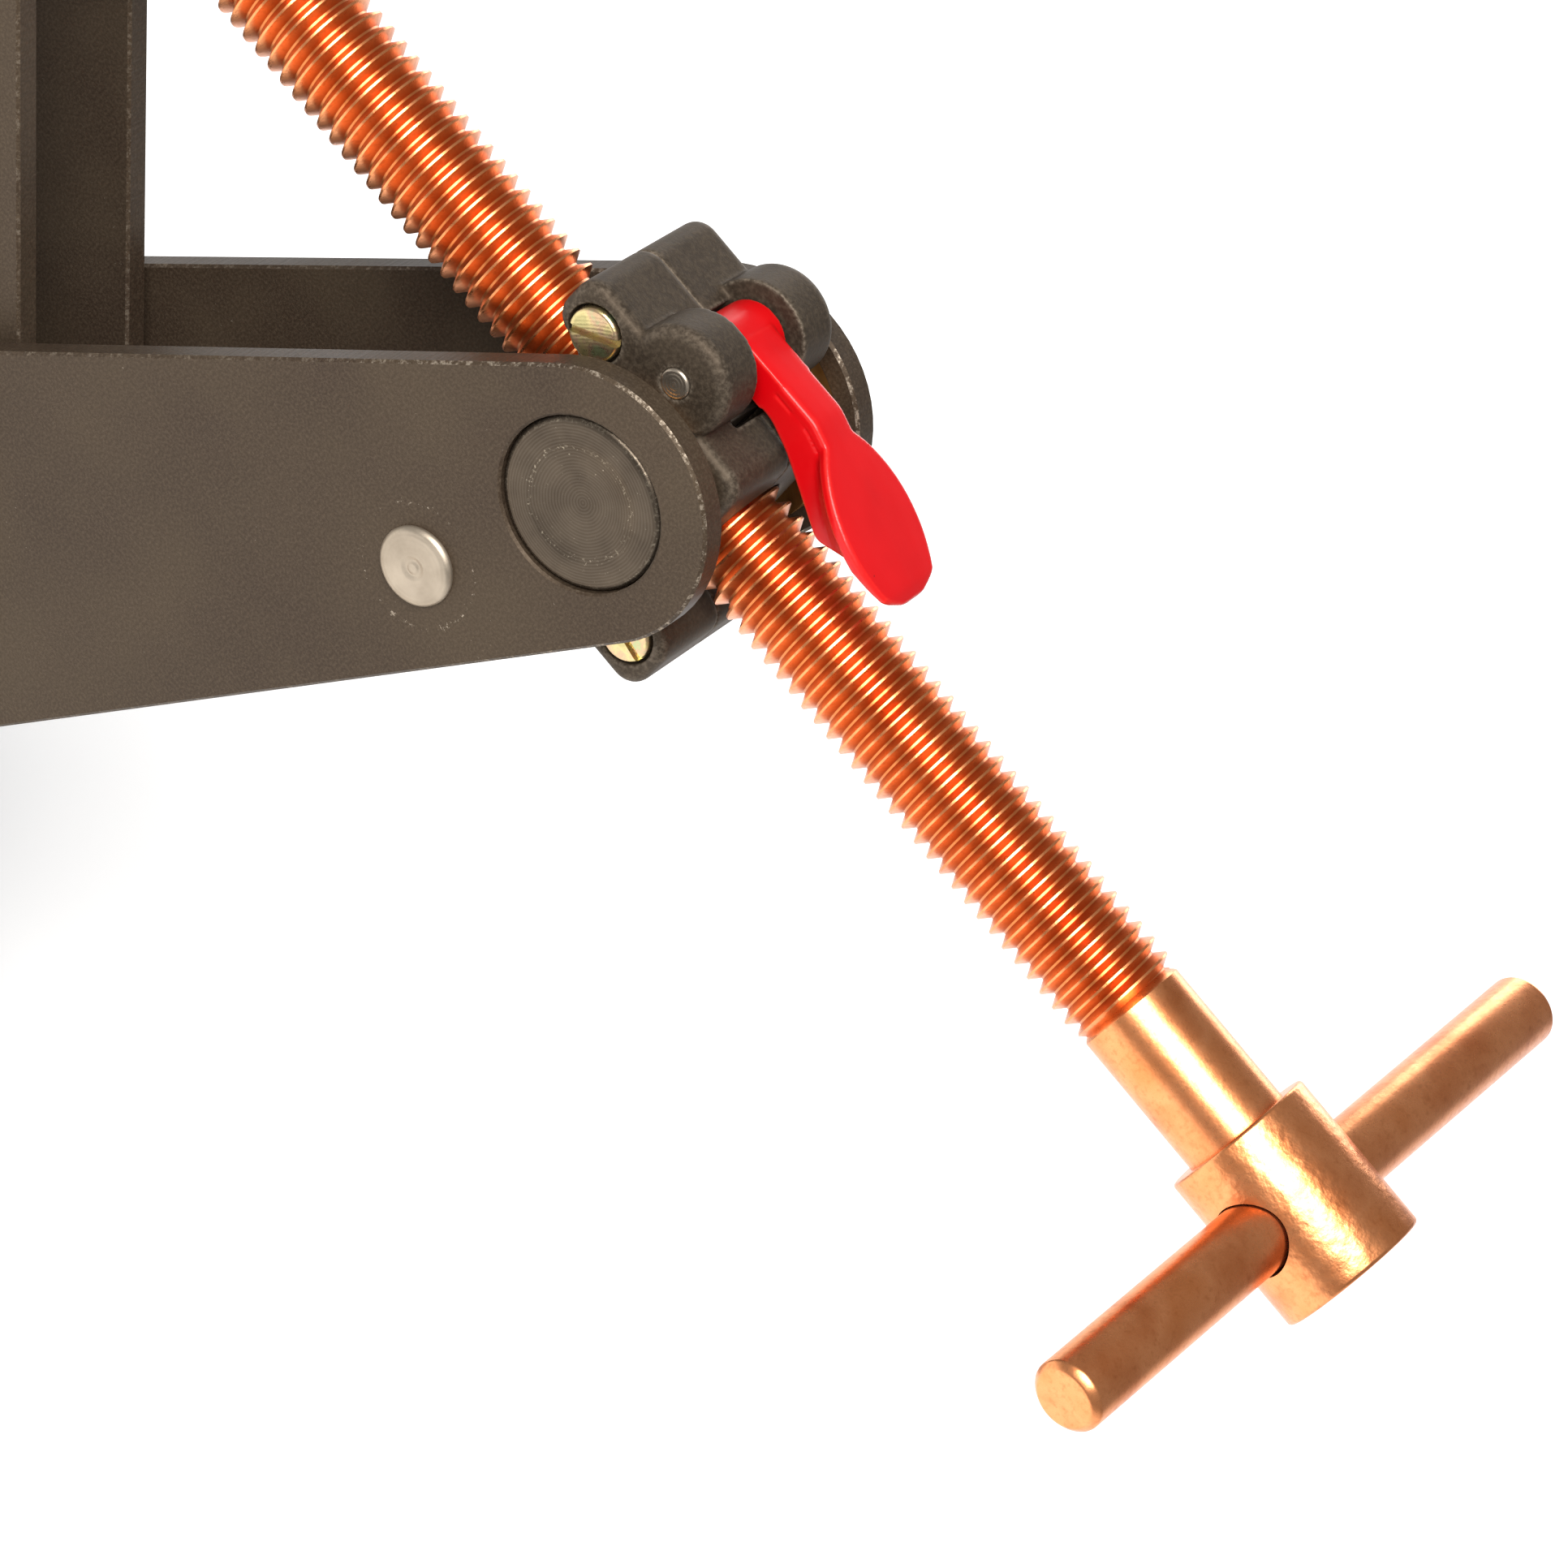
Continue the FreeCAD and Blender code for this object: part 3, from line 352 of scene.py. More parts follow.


# %% [markdown]
# ## Copper-plated steel
# The spindle and its cross bar are steel with a thin copper plate. Fresh copper is a clean salmon
# metal, and handling adds browner, redder patches. The plating bath leaves a faint orange peel. The
# bottoms of the thread are rougher, and they are painted darker as shade between the turns. The
# distance from the spindle's axis tells the shader how deep in the thread a point lies.

# %% Copper plate material
def copper_plate(name, thread_crest=None, peel_mm=0.9, peel_depth=0.05, stain=0.5):
    material, tree, shader, at = new_material(name)
    patch = add(tree, NOISE, {"Vector": at, "Scale": per_mm(12), "Detail": 5.0})
    fine = add(tree, NOISE, {"Vector": at, "Scale": per_mm(1.1), "Detail": 5.0, "Roughness": 0.65})
    colour = add(tree, RAMP, {0: patch},
                 stops=[(0.3, "#de8a54"), (0.5, "#ea9a66"), (0.72, "#cf7a48")])
    stained = add(tree, RAMP, {0: fine}, stops=[(0.5, 0.0), (0.78, stain)])
    colour = add(tree, MIX, {0: stained, 6: colour, 7: "#9a4f24"}, out=2, data_type="RGBA")
    rough = add(tree, MATH, {0: fine, 1: 0.2, 2: 0.19}, operation="MULTIPLY_ADD")
    if thread_crest is not None:
        flat = add(tree, VECTOR, {0: at, 1: (0.0, 1.0, 1.0)}, operation="MULTIPLY")
        radius = add(tree, VECTOR, {0: flat, 1: (0.0, 0.0, AXIS_Z)}, out=1, operation="DISTANCE")
        # Painted shade: the deeper a point lies in the thread, the more its copper is darkened
        # towards brown. It is made rougher there too.
        root_shade_and_roughness = add(tree, "ShaderNodeMapRange", {0: radius, 1: thread_crest - 0.35 * MM,
                                                 2: thread_crest - 1.6 * MM, 3: 0.0, 4: 0.6})
        colour = add(tree, MIX, {0: root_shade_and_roughness, 6: colour, 7: "#b3622d"}, out=2, data_type="RGBA")
        rough = add(tree, MATH, {0: root_shade_and_roughness, 1: 0.10, 2: rough}, operation="MULTIPLY_ADD")
    peel = add(tree, NOISE, {"Vector": at, "Scale": per_mm(peel_mm), "Detail": 3.0})
    dimples = add(tree, BUMP, {"Height": peel, "Distance": peel_depth * MM, "Strength": 0.5})
    set_look(tree, shader, Base_Color=colour, Metallic=1.0, Roughness=rough, Normal=dimples)
    return material


THREAD_RADIUS = 9.5 * MM
COPPER = copper_plate("copper_plated_bar")
BOSS_COPPER = copper_plate("thickly_copper_plated_boss", None, 2.4, 0.3)
THREAD_COPPER = copper_plate("copper_plated_thread", THREAD_RADIUS, 0.7)


# %% [markdown]
# ## Blackened casting and red coating
# The nut housing is an investment casting, blackened like the arms, with a sandy tooth and slightly
# paler exposed edges. The lever is a casting with a thick glossy red powder coat: a saturated base
# under a clear layer, which turns every ridge into a crisp line of light. Both read a value named
# wear, which the shape of the casting itself supplies further down.

# %% Casting and coating materials
def blackened_casting():
    material, tree, shader, at = new_material("blackened_casting")
    sand = add(tree, NOISE, {"Vector": at, "Scale": per_mm(0.7), "Detail": 4.0, "Roughness": 0.65})
    cloud = add(tree, NOISE, {"Vector": at, "Scale": per_mm(9), "Detail": 4.0})
    coat = add(tree, RAMP, {0: cloud}, stops=[(0.3, "#251f19"), (0.7, "#322b23")])
    grain = add(tree, RAMP, {0: sand}, stops=[(0.42, 0.0), (0.8, 0.45)])
    coat = add(tree, MIX, {0: grain, 6: coat, 7: "#5a4f42"}, out=2, data_type="RGBA")
    wear = add(tree, "ShaderNodeAttribute", out="Fac", attribute_name="wear")
    chips = add(tree, RAMP, {0: sand}, stops=[(0.4, 0.05), (0.65, 0.32)])
    rubbed = add(tree, MATH, {0: wear, 1: chips}, operation="MULTIPLY")
    colour = add(tree, MIX, {0: rubbed, 6: coat, 7: "#988c7d"}, out=2, data_type="RGBA")
    sheen = add(tree, RAMP, {0: sand}, stops=[(0.3, 0.50), (0.7, 0.62)])
    tooth = add(tree, BUMP, {"Height": sand, "Distance": 0.08 * MM, "Strength": 0.6})
    set_look(tree, shader, Base_Color=colour, Metallic=0.1, Roughness=sheen, Normal=tooth,
             Specular_IOR_Level=0.35, Specular_Tint=WARM)
    return material


def red_coating():
    material, tree, shader, at = new_material("glossy_red_powder_coat")
    drift = add(tree, NOISE, {"Vector": at, "Scale": per_mm(10), "Detail": 3.0})
    coat = add(tree, RAMP, {0: drift}, stops=[(0.3, "#ac0107"), (0.7, "#b70209")])
    wear = add(tree, "ShaderNodeAttribute", out="Fac", attribute_name="wear")
    thin = add(tree, MATH, {0: wear, 1: 0.4}, operation="MULTIPLY")
    coat = add(tree, MIX, {0: thin, 6: coat, 7: "#dc3a30"}, out=2, data_type="RGBA")
    specks = add(tree, NOISE, {"Vector": at, "Scale": per_mm(1.1), "Detail": 2.0})
    specks = add(tree, RAMP, {0: specks}, stops=[(0.76, 0.0), (0.79, 0.7)])
    coat = add(tree, MIX, {0: specks, 6: coat, 7: "#4a0a0c"}, out=2, data_type="RGBA")
    sheen = add(tree, RAMP, {0: drift}, stops=[(0.3, 0.30), (0.7, 0.38)])
    peel = add(tree, NOISE, {"Vector": at, "Scale": per_mm(2.4), "Detail": 2.0})
    skin = add(tree, BUMP, {"Height": peel, "Distance": 0.05 * MM, "Strength": 0.4})
    set_look(tree, shader, Base_Color=coat, Roughness=sheen, Normal=skin, Coat_Weight=0.15,
             Coat_Roughness=0.15, Specular_IOR_Level=0.2)
    return material


CASTING = blackened_casting()
RED = red_coating()


# %% [markdown]
# ## Zinc, and the floor
# Bright zinc is a cool grey metal with a soft spangle. Yellow zinc is the same metal under a
# chromate film whose colour drifts between straw, pink and green. The floor is a pale opal board
# that glows a little, as a product table lit from below does, and that keeps its shadows faint.

# %% Zinc and floor materials
def zinc_plate(name, axis, tones, roughness=0.3):
    material, tree, shader, at = new_material(name)
    spangle = add(tree, NOISE, {"Vector": at, "Scale": per_mm(2.6), "Detail": 4.0})
    stops = [(0.34 + 0.32 * i / (len(tones) - 1), tone) for i, tone in enumerate(tones)]
    colour = add(tree, RAMP, {0: spangle}, stops=stops)
    fine = add(tree, NOISE, {"Vector": at, "Scale": per_mm(0.5), "Detail": 3.0})
    rough = add(tree, MATH, {0: fine, 1: 0.18, 2: roughness - 0.09}, operation="MULTIPLY_ADD")
    marks = add(tree, MATH, {0: axis_distance(tree, at, axis), 1: 2 * math.pi * per_mm(0.6)},
                operation="MULTIPLY")
    marks = add(tree, MATH, {0: add(tree, MATH, {0: marks}, operation="SINE"), 1: 0.25, 2: fine},
                operation="MULTIPLY_ADD")
    tooth = add(tree, BUMP, {"Height": marks, "Distance": 0.025 * MM, "Strength": 0.5})
    set_look(tree, shader, Base_Color=colour, Metallic=0.95, Roughness=rough, Normal=tooth)
    return material


def pale_floor():
    material, tree, shader, at = new_material("pale_opal_board")
    tone = add(tree, NOISE, {"Vector": at, "Scale": per_mm(400)})
    tone = add(tree, RAMP, {0: tone}, stops=[(0.3, 0.88), (0.7, 0.90)])
    set_look(tree, shader, Base_Color=tone, Roughness=0.85, Emission_Color=srgb("#ffffff"),
             Emission_Strength=0.3)
    return material


ZINC = zinc_plate("bright_zinc_plate", RIVET, ("#b4b1ab", "#cfcdc9", "#a29e97"))
YELLOW_ZINC = zinc_plate("yellow_zinc_plate", TRUNNION,
                         ("#b5ab78", "#cdbb86", "#c3a384", "#a9b184"))

floor_mesh = bpy.data.meshes.new("floor")
SWING_ROOM = 14 * MM         # a jaw swings this far below its place at rest
FLOOR_Z = cad_low.z - SWING_ROOM
floor_mesh.from_pydata([(x, y, FLOOR_Z) for x, y in ((-4, -4), (4, -4), (4, 4), (-4, 4))],
                       [], [(0, 1, 2, 3)])
floor_mesh.materials.append(pale_floor())
floor = bpy.data.objects.new("floor", floor_mesh)
bpy.context.scene.collection.objects.link(floor)
floor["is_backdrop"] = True


# %% [markdown]
# ## Pieces that keep the solid model's mesh
# Flat plates, blocks, tubes and washers come out of the solid model with true bevels, so they only
# get a finish, by filling their mesh's material slots.

# %% Finish the carried-over pieces
def finish(material, *names):
    for name in names:
        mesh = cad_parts[name].data
        mesh.materials.clear()
        mesh.materials.append(material)


finish(PLATE, "outer_plate_front", "outer_plate_rear", "inner_plate_front", "inner_plate_rear",
       "outer_jaw_block", "inner_jaw_block")
finish(PIVOT_STEEL, "outer_spacer_tube", "inner_spacer_tube", "inner_pivot_spacer",
       "pivot_circlips")
finish(END_STEEL, "end_block")
finish(PIN_STEEL, "half_nut", "nut_springs")
finish(ZINC, "pivot_bush", "pivot_washers", "spindle_nut", "spindle_washer", "split_pin")
finish(YELLOW_ZINC, "housing_screws")
finish(BRONZE, "pivot_gap_washers", "thrust_washers")


# %% [markdown]
# ## Helpers for meshes
# Most turned pieces are an outline of (distance along the axis, radius) pairs, revolved. The
# outline's corners are broken by small rounds, because a real edge always catches a line of light.

# %% Mesh helpers
def revolve(work, outline, origin, direction, segments=96):
    """Adds a closed solid of revolution to a bmesh. The outline runs from end to end."""
    axis = Vector(direction).normalized()
    side = axis.orthogonal().normalized()
    other = axis.cross(side)
    rings = []
    for distance, radius in outline:
        middle = Vector(origin) + axis * distance
        angles = (2 * math.pi * k / segments for k in range(segments))
        rings.append([work.verts.new(middle + (side * math.cos(a) + other * math.sin(a)) * radius)
                      for a in angles])
    for near, far in zip(rings, rings[1:]):
        for k in range(segments):
            after = (k + 1) % segments
            work.faces.new((near[k], near[after], far[after], far[k]))
    work.faces.new(list(reversed(rings[0])))
    work.faces.new(rings[-1])


def rounded_rim(length, radius, bevel, steps=5):
    """Outline of a bar whose two rims are quarter rounds."""
    curve = [(bevel * (1 - math.cos(a)), radius - bevel * (1 - math.sin(a)))
             for a in (math.pi / 2 * i / steps for i in range(steps + 1))]
    return curve + [(length - distance, r) for distance, r in reversed(curve)]


def chamfered_rim(length, radius, chamfer):
    """Outline of a bar whose two rims are chamfered, with the chamfer's own corners broken."""
    part = [(0.0, -1.25), (0.05, -1.03), (0.2, -0.8), (0.8, -0.2), (1.03, -0.05), (1.25, 0.0)]
    curve = [(chamfer * share, radius + chamfer * out) for share, out in part]
    return curve + [(length - distance, r) for distance, r in reversed(curve)]


def linked(name, mesh):
    piece = bpy.data.objects.new(name, mesh)
    bpy.context.scene.collection.objects.link(piece)
    return piece


def shade(mesh, angle=35):
    """Smooth shading across edges that turn less than this many degrees."""
    for face in mesh.polygons:
        face.use_smooth = True
    mesh.set_sharp_from_angle(angle=math.radians(angle))


def object_from(work, name, material, angle=35):
    """A shaded object from a bmesh, with its normals pointing out."""
    bmesh.ops.recalc_face_normals(work, faces=work.faces)
    mesh = bpy.data.meshes.new(name)
    work.to_mesh(mesh)
    work.free()
    mesh.materials.append(material)
    shade(mesh, angle)
    return linked(name, mesh)


def plain_copy(piece):
    """The object's evaluated mesh, with its modifiers gone."""
    evaluated = piece.evaluated_get(bpy.context.evaluated_depsgraph_get())
    mesh = bpy.data.meshes.new_from_object(evaluated)
    piece.modifiers.clear()
    piece.data = mesh
    return piece


def place(piece, body, slot, *nodes):
    """Hands a finished piece to its body, and hides the solid nodes that it stands for."""
    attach(piece, body)
    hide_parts(*nodes)
    print(piece.name, "faces:", len(piece.data.polygons))


# %% [markdown]
# ## Soft castings
# A casting has no sharp edge: the wax, the investment and the shot blasting round each corner and
# fill each inner corner. A copy of the solid is merged, rebuilt as an even skin of small squares by
# the voxel remesher, and then relaxed. How far a point then stands out from the average of its
# neighbours says how exposed it is, and that becomes the value named wear.

# %% Soft casting helper
PASSES = 3                   # how many times a casting's skin is relaxed
WEAR_START = 0.15            # a corner flatter than this isn't worn


def cast_skin(piece, material, voxel_mm, wear_scale=0.03):
    """Turns a closed mesh object into a relaxed skin with a wear value on exposed edges."""
    remesh = piece.modifiers.new("skin", "REMESH")
    remesh.mode = "VOXEL"
    remesh.voxel_size = voxel_mm * MM
    plain_copy(piece)
    work = bmesh.new()
    work.from_mesh(piece.data)
    for _ in range(PASSES):
        bmesh.ops.smooth_vert(work, verts=work.verts, factor=0.5, use_axis_x=True,
                              use_axis_y=True, use_axis_z=True)
    bmesh.ops.recalc_face_normals(work, faces=work.faces)
    work.normal_update()
    layer = work.verts.layers.float.new("wear")
    for vert in work.verts:
        total = sum((e.other_vert(vert).co for e in vert.link_edges), Vector())
        around = total / len(vert.link_edges)
        out = (vert.co - around).dot(vert.normal) / (wear_scale * MM)
        vert[layer] = max(0.0, min(1.0, out - WEAR_START))
    for face in work.faces:
        face.smooth = True
    work.to_mesh(piece.data)
    work.free()
    piece.data.materials.clear()
    piece.data.materials.append(material)
    return piece


def merged_copy(node, name):
    """A copy of a solid node whose loose triangles are joined."""
    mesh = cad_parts[node].data.copy()
    work = bmesh.new()
    work.from_mesh(mesh)
    bmesh.ops.remove_doubles(work, verts=work.verts, dist=0.002 * MM)
    bmesh.ops.recalc_face_normals(work, faces=work.faces)
    work.to_mesh(mesh)
    work.free()
    return linked(name, mesh)


VOXEL = 0.36
for side in ("front", "rear"):
    half = merged_copy("housing_" + side, "cast_housing_" + side)
    cast_skin(half, CASTING, VOXEL)
    place(half, "nut_housing", "cast_black", "housing_" + side)


# %% [markdown]
# ## Release lever
# The lever's hub and cam are plain, but its finger end is a leaf-shaped plate that flares smoothly
# out of a narrow web, and that flare is what the light shows. It is lofted: at each station along
# the lever a section is drawn from a few widths and heights, and neighbouring sections are joined.
# The solid's hub and cam are added, and the same casting skin welds them together.

# %% Loft the lever's finger end
NECK_HALF = 4.1 * MM
ARC_CENTRE_X, ARC_CENTRE_Y, ARC_RADIUS = 31.23 * MM, -10.07 * MM, 19.87 * MM
LOFT_START, LOFT_END, STATIONS = -3.0 * MM, 42.6 * MM, 70
TIP_GAP, TIP_ROUND = 0.5 * MM, 2.2 * MM
LEAF_RIM = 2.2 * MM          # depth of the leaf's rounded edge
TOP_LINE = [(0, 28.1), (13.5, 28.3), (42.4, 19.0), (60, 13.3)]
LOW_LINE = [(0, 22.0), (8.5, 21.9), (13.5, 20.2), (26.3, 13.7), (30.5, 15.4), (35, 17.0),
            (43, 16.9), (60, 16.9)]


def along(points, x):
    """Value at x on a line of (x, value) points in millimetres, smoothed at its corners."""
    def straight(at):
        for (x0, v0), (x1, v1) in zip(points, points[1:]):
            if at <= x1:
                return v0 + (v1 - v0) * max(0.0, at - x0) / (x1 - x0)
        return points[-1][1]
    offsets = [-0.9, -0.6, -0.3, 0.0, 0.3, 0.6, 0.9]
    return sum(straight(x / MM + o) for o in offsets) / len(offsets) * MM


def half_width(x):
    """The narrow neck, or the leaf's arc where that is wider."""
    inside = ARC_RADIUS ** 2 - (x - ARC_CENTRE_X) ** 2
    leaf = ARC_CENTRE_Y + math.sqrt(max(0.0, inside))
    return max(NECK_HALF, leaf)


def lever_section(x):
    """Right half of the section at x from the trunnion, as (across, up) pairs, top to bottom."""
    top, low = along(TOP_LINE, x), along(LOW_LINE, x)
    wide = half_width(x)
    rim = min(LEAF_RIM, (top - low) * 0.45)
    flare = wide - NECK_HALF
    web_top = max(top - rim - 0.9 * flare - 0.6 * MM, low + 0.5 * MM)
    web = min(NECK_HALF, wide)
    return [(0.0, top + 0.12 * MM), (wide * 0.6, top + 0.08 * MM), (wide - 0.5 * MM, top),
            (wide, top - 0.45 * MM), (wide, top - rim + 0.4 * MM), (wide - 0.4 * MM, top - rim),
            (web + 0.45 * flare, top - rim - 0.2 * (top - rim - web_top)),
            (web + 0.15 * flare, top - rim - 0.55 * (top - rim - web_top)),
            (web, web_top), (web, low + 0.6 * MM), (web - 0.5 * MM, low + 0.1 * MM), (0.0, low)]


def lofted_lever():
    """The finger end as a closed bmesh, rounded off towards its tip."""
    work = bmesh.new()
    rings = []
    for i in range(STATIONS + 1):
        x = LOFT_START + (LOFT_END - LOFT_START) * i / STATIONS
        fade = min(1.0, (LOFT_END + TIP_GAP - x) / TIP_ROUND) ** 0.5
        right = lever_section(x)
        middle = (right[0][1] + right[-1][1]) / 2
        loop = [(y, z) for y, z in right] + [(-y, z) for y, z in reversed(right[1:-1])]
        rings.append([work.verts.new((TRUNNION.x + x, y * fade,
                                      AXIS_Z + middle + (z - middle) * fade))
                      for y, z in loop])
    count = len(rings[0])
    for near, far in zip(rings, rings[1:]):
        for k in range(count):
            work.faces.new((near[k], near[(k + 1) % count], far[(k + 1) % count], far[k]))
    work.faces.new(list(reversed(rings[0])))
    work.faces.new(rings[-1])
    return work


# %% [markdown]
# The solid model's own lever is cut off just beyond its hub, and the lofted end takes the place of
# the rest. The two overlap for a few millimetres. The voxel skin doesn't mind that: it closes round
# both and leaves one shell, as if they had been poured together.

# %% Weld the lever
HUB_CUT = 6 * MM
hub = merged_copy("release_lever", "hub")
work = lofted_lever()
hub_mesh = bmesh.new()
hub_mesh.from_mesh(hub.data)
bmesh.ops.bisect_plane(hub_mesh, geom=hub_mesh.verts[:] + hub_mesh.edges[:] + hub_mesh.faces[:],
                       plane_co=(TRUNNION.x + HUB_CUT, 0, 0), plane_no=(1, 0, 0), clear_outer=True)
bmesh.ops.holes_fill(hub_mesh, edges=[e for e in hub_mesh.edges if e.is_boundary])
bmesh.ops.recalc_face_normals(hub_mesh, faces=hub_mesh.faces)
hub_mesh.to_mesh(hub.data)
hub_mesh.free()
work.from_mesh(hub.data)
bpy.data.objects.remove(hub)
lever = object_from(work, "coated_release_lever", RED)
cast_skin(lever, RED, 0.25, wear_scale=0.02)
place(lever, "release_lever", "red_coating", "release_lever")


# %% [markdown]
# ## The spindle's thread
# A thread is one profile that travels along a helix. A sweep would leave gaps between turns, so a
# Geometry Nodes tree rolls up a flat grid instead. One side of the grid is one turn round the axis.
# The other side is the length, in eighths of the pitch. Rolling it and moving each point along by
# its share of one pitch turns every row into a helical line. A ping-pong wave of the row's place
# gives the 60 degree profile with its narrow flats, the rows past each end are drawn in to the axis
# to close it, and merging by distance sews up the seam.

# %% Thread tree
def tree_with(name, **sockets):
    """An empty Geometry Nodes tree with these named inputs."""
    tree = bpy.data.node_groups.new(name, "GeometryNodeTree")
    for label, kind in sockets.items():
        tree.interface.new_socket(label.replace("_", " "), in_out="INPUT",
                                  socket_type="NodeSocket" + kind)
    tree.interface.new_socket("Geometry", in_out="OUTPUT", socket_type="NodeSocketGeometry")
    return tree, tree.nodes.new("NodeGroupInput").outputs


def end_tree(tree, geometry, material):
    """Real geometry with its material, as the export needs."""
    real = add(tree, "GeometryNodeRealizeInstances", {0: geometry})
    done = add(tree, "GeometryNodeSetMaterial", {"Geometry": real, "Material": material})
    add(tree, "NodeGroupOutput", {0: done})
    return tree


ROWS_PER_PITCH = 8.0
SPARE_TURNS = 3.0            # rows past the ends, which close them
HALF_FLAT = 1 / 16           # half of a crest's or a root's flat, as a share of the pitch
SEW_DISTANCE = 2e-6


def screw_thread():
    """A tree that makes a closed length of screw thread along X."""
    tree, given = tree_with("screw_thread", Centre="Vector", Length="Float", Pitch="Float",
                            Crest_Radius="Float", Root_Radius="Float", Chamfer="Float",
                            Phase="Float", Segments="Int", Material="Material")
    span = add(tree, MATH, {0: given["Pitch"], 1: SPARE_TURNS, 2: given["Length"]},
               operation="MULTIPLY_ADD")
    rows = add(tree, MATH, {0: span, 1: given["Pitch"]}, operation="DIVIDE")
    rows = add(tree, MATH, {0: rows}, operation="CEIL")
    span = add(tree, MATH, {0: rows, 1: given["Pitch"]}, operation="MULTIPLY")
    rows = add(tree, MATH, {0: rows, 1: ROWS_PER_PITCH, 2: 1.0}, operation="MULTIPLY_ADD")
    around = add(tree, MATH, {0: given["Segments"], 1: 1.0}, operation="ADD")
    grid = add(tree, "GeometryNodeMeshGrid", {"Size X": 1.0, "Size Y": span, "Vertices X": around,
                                              "Vertices Y": rows})
    spot = tree.nodes.new("ShaderNodeSeparateXYZ")
    tree.links.new(add(tree, "GeometryNodeInputPosition"), spot.inputs[0])
    turns = add(tree, MATH, {0: spot.outputs["Y"], 1: given["Pitch"]}, operation="DIVIDE")
    wave = add(tree, MATH, {0: turns, 1: HALF_FLAT}, operation="ADD")
    wave = add(tree, MATH, {0: wave, 1: 0.5}, operation="PINGPONG")
    radius = add(tree, "ShaderNodeMapRange", {0: wave, 1: HALF_FLAT, 2: 0.5 - HALF_FLAT,
                                              3: given["Crest Radius"], 4: given["Root Radius"]})
    shift = add(tree, MATH, {0: spot.outputs["X"], 1: given["Phase"]}, operation="ADD")
    travel = add(tree, MATH, {0: shift, 1: given["Pitch"], 2: spot.outputs["Y"]},
                 operation="MULTIPLY_ADD")
    half = add(tree, MATH, {0: given["Length"], 1: 0.5}, operation="MULTIPLY")
    back = add(tree, MATH, {0: half, 1: -1.0}, operation="MULTIPLY")
    held = add(tree, "ShaderNodeClamp", {0: travel, 1: back, 2: half})
    past = add(tree, MATH, {0: travel, 1: held}, operation="SUBTRACT")
    past = add(tree, MATH, {0: past}, operation="ABSOLUTE")
    close = add(tree, "ShaderNodeMapRange", {0: past, 1: 0.0, 2: given["Pitch"], 3: 1.0, 4: 0.0})
    from_middle = add(tree, MATH, {0: held}, operation="ABSOLUTE")
    slope = add(tree, MATH, {0: half, 1: given["Chamfer"]}, operation="SUBTRACT")
    bevel = add(tree, "ShaderNodeMapRange", {0: from_middle, 1: slope, 2: half,
                                             3: given["Crest Radius"], 4: given["Root Radius"]})
    radius = add(tree, MATH, {0: radius, 1: bevel}, operation="MINIMUM")
    radius = add(tree, MATH, {0: radius, 1: close}, operation="MULTIPLY")
    angle = add(tree, MATH, {0: spot.outputs["X"], 1: 2 * math.pi}, operation="MULTIPLY")
    flat = add(tree, "ShaderNodeCombineXYZ", {0: held, 1: radius})
    rolled = add(tree, "ShaderNodeVectorRotate", {0: flat, "Angle": angle}, rotation_type="X_AXIS")
    moved = add(tree, VECTOR, {0: rolled, 1: given["Centre"]}, operation="ADD")
    solid = add(tree, "GeometryNodeSetPosition", {"Geometry": grid, "Position": moved})
    sewn = add(tree, "GeometryNodeMergeByDistance", {"Geometry": solid,
                                                         "Distance": SEW_DISTANCE})
    return end_tree(tree, sewn, given["Material"])


def grown(name, tree, values, seed_mesh=None):
    """A plain mesh object from a Geometry Nodes tree and its named inputs."""
    piece = bpy.data.objects.new(name, seed_mesh or bpy.data.meshes.new(name))
    modifier = piece.modifiers.new("grow", "NODES")
    modifier.node_group = tree
    sockets = {s.name: s.identifier for s in tree.interface.items_tree if s.in_out == "INPUT"}
    for label, value in values.items():
        modifier[sockets[label]] = value
    bpy.context.scene.collection.objects.link(piece)
    plain_copy(piece)
    material = values["Material"]
    piece.data.materials.clear()
    piece.data.materials.append(material)
    for face in piece.data.polygons:
        face.material_index = 0
    return piece


# %% [markdown]
# The thread runs from the end block to a place a little short of the boss. Both ends are chamfered,
# as a turner leaves them, so that the first turn fades in instead of starting with a step.

# %% Grow the thread
THREAD_START = END_BLOCK.x + reach("end_block") + 0.1 * MM
THREAD_END = TRUNNION.x + 111.0 * MM
THREAD_PITCH, THREAD_DEPTH, THREAD_CHAMFER = 3.0 * MM, 1.75 * MM, 1.6 * MM
THREAD_SHADE = 24            # degrees: the flanks meet the crests more sharply than this
thread = grown("thread", screw_thread(), {
    "Centre": ((THREAD_START + THREAD_END) / 2, 0.0, AXIS_Z),
    "Length": THREAD_END - THREAD_START, "Pitch": THREAD_PITCH, "Crest Radius": THREAD_RADIUS,
    "Root Radius": THREAD_RADIUS - THREAD_DEPTH, "Chamfer": THREAD_CHAMFER, "Phase": 0.0,
    "Segments": 64, "Material": THREAD_COPPER})
shade(thread.data, THREAD_SHADE)
print("thread faces:", len(thread.data.polygons))


# %% [markdown]
# ## Shank, boss and cross bar
# These are turned. The boss is drilled across for the bar with a drill slightly larger than the
# bar, and that leaves the thin dark crescent beside it.

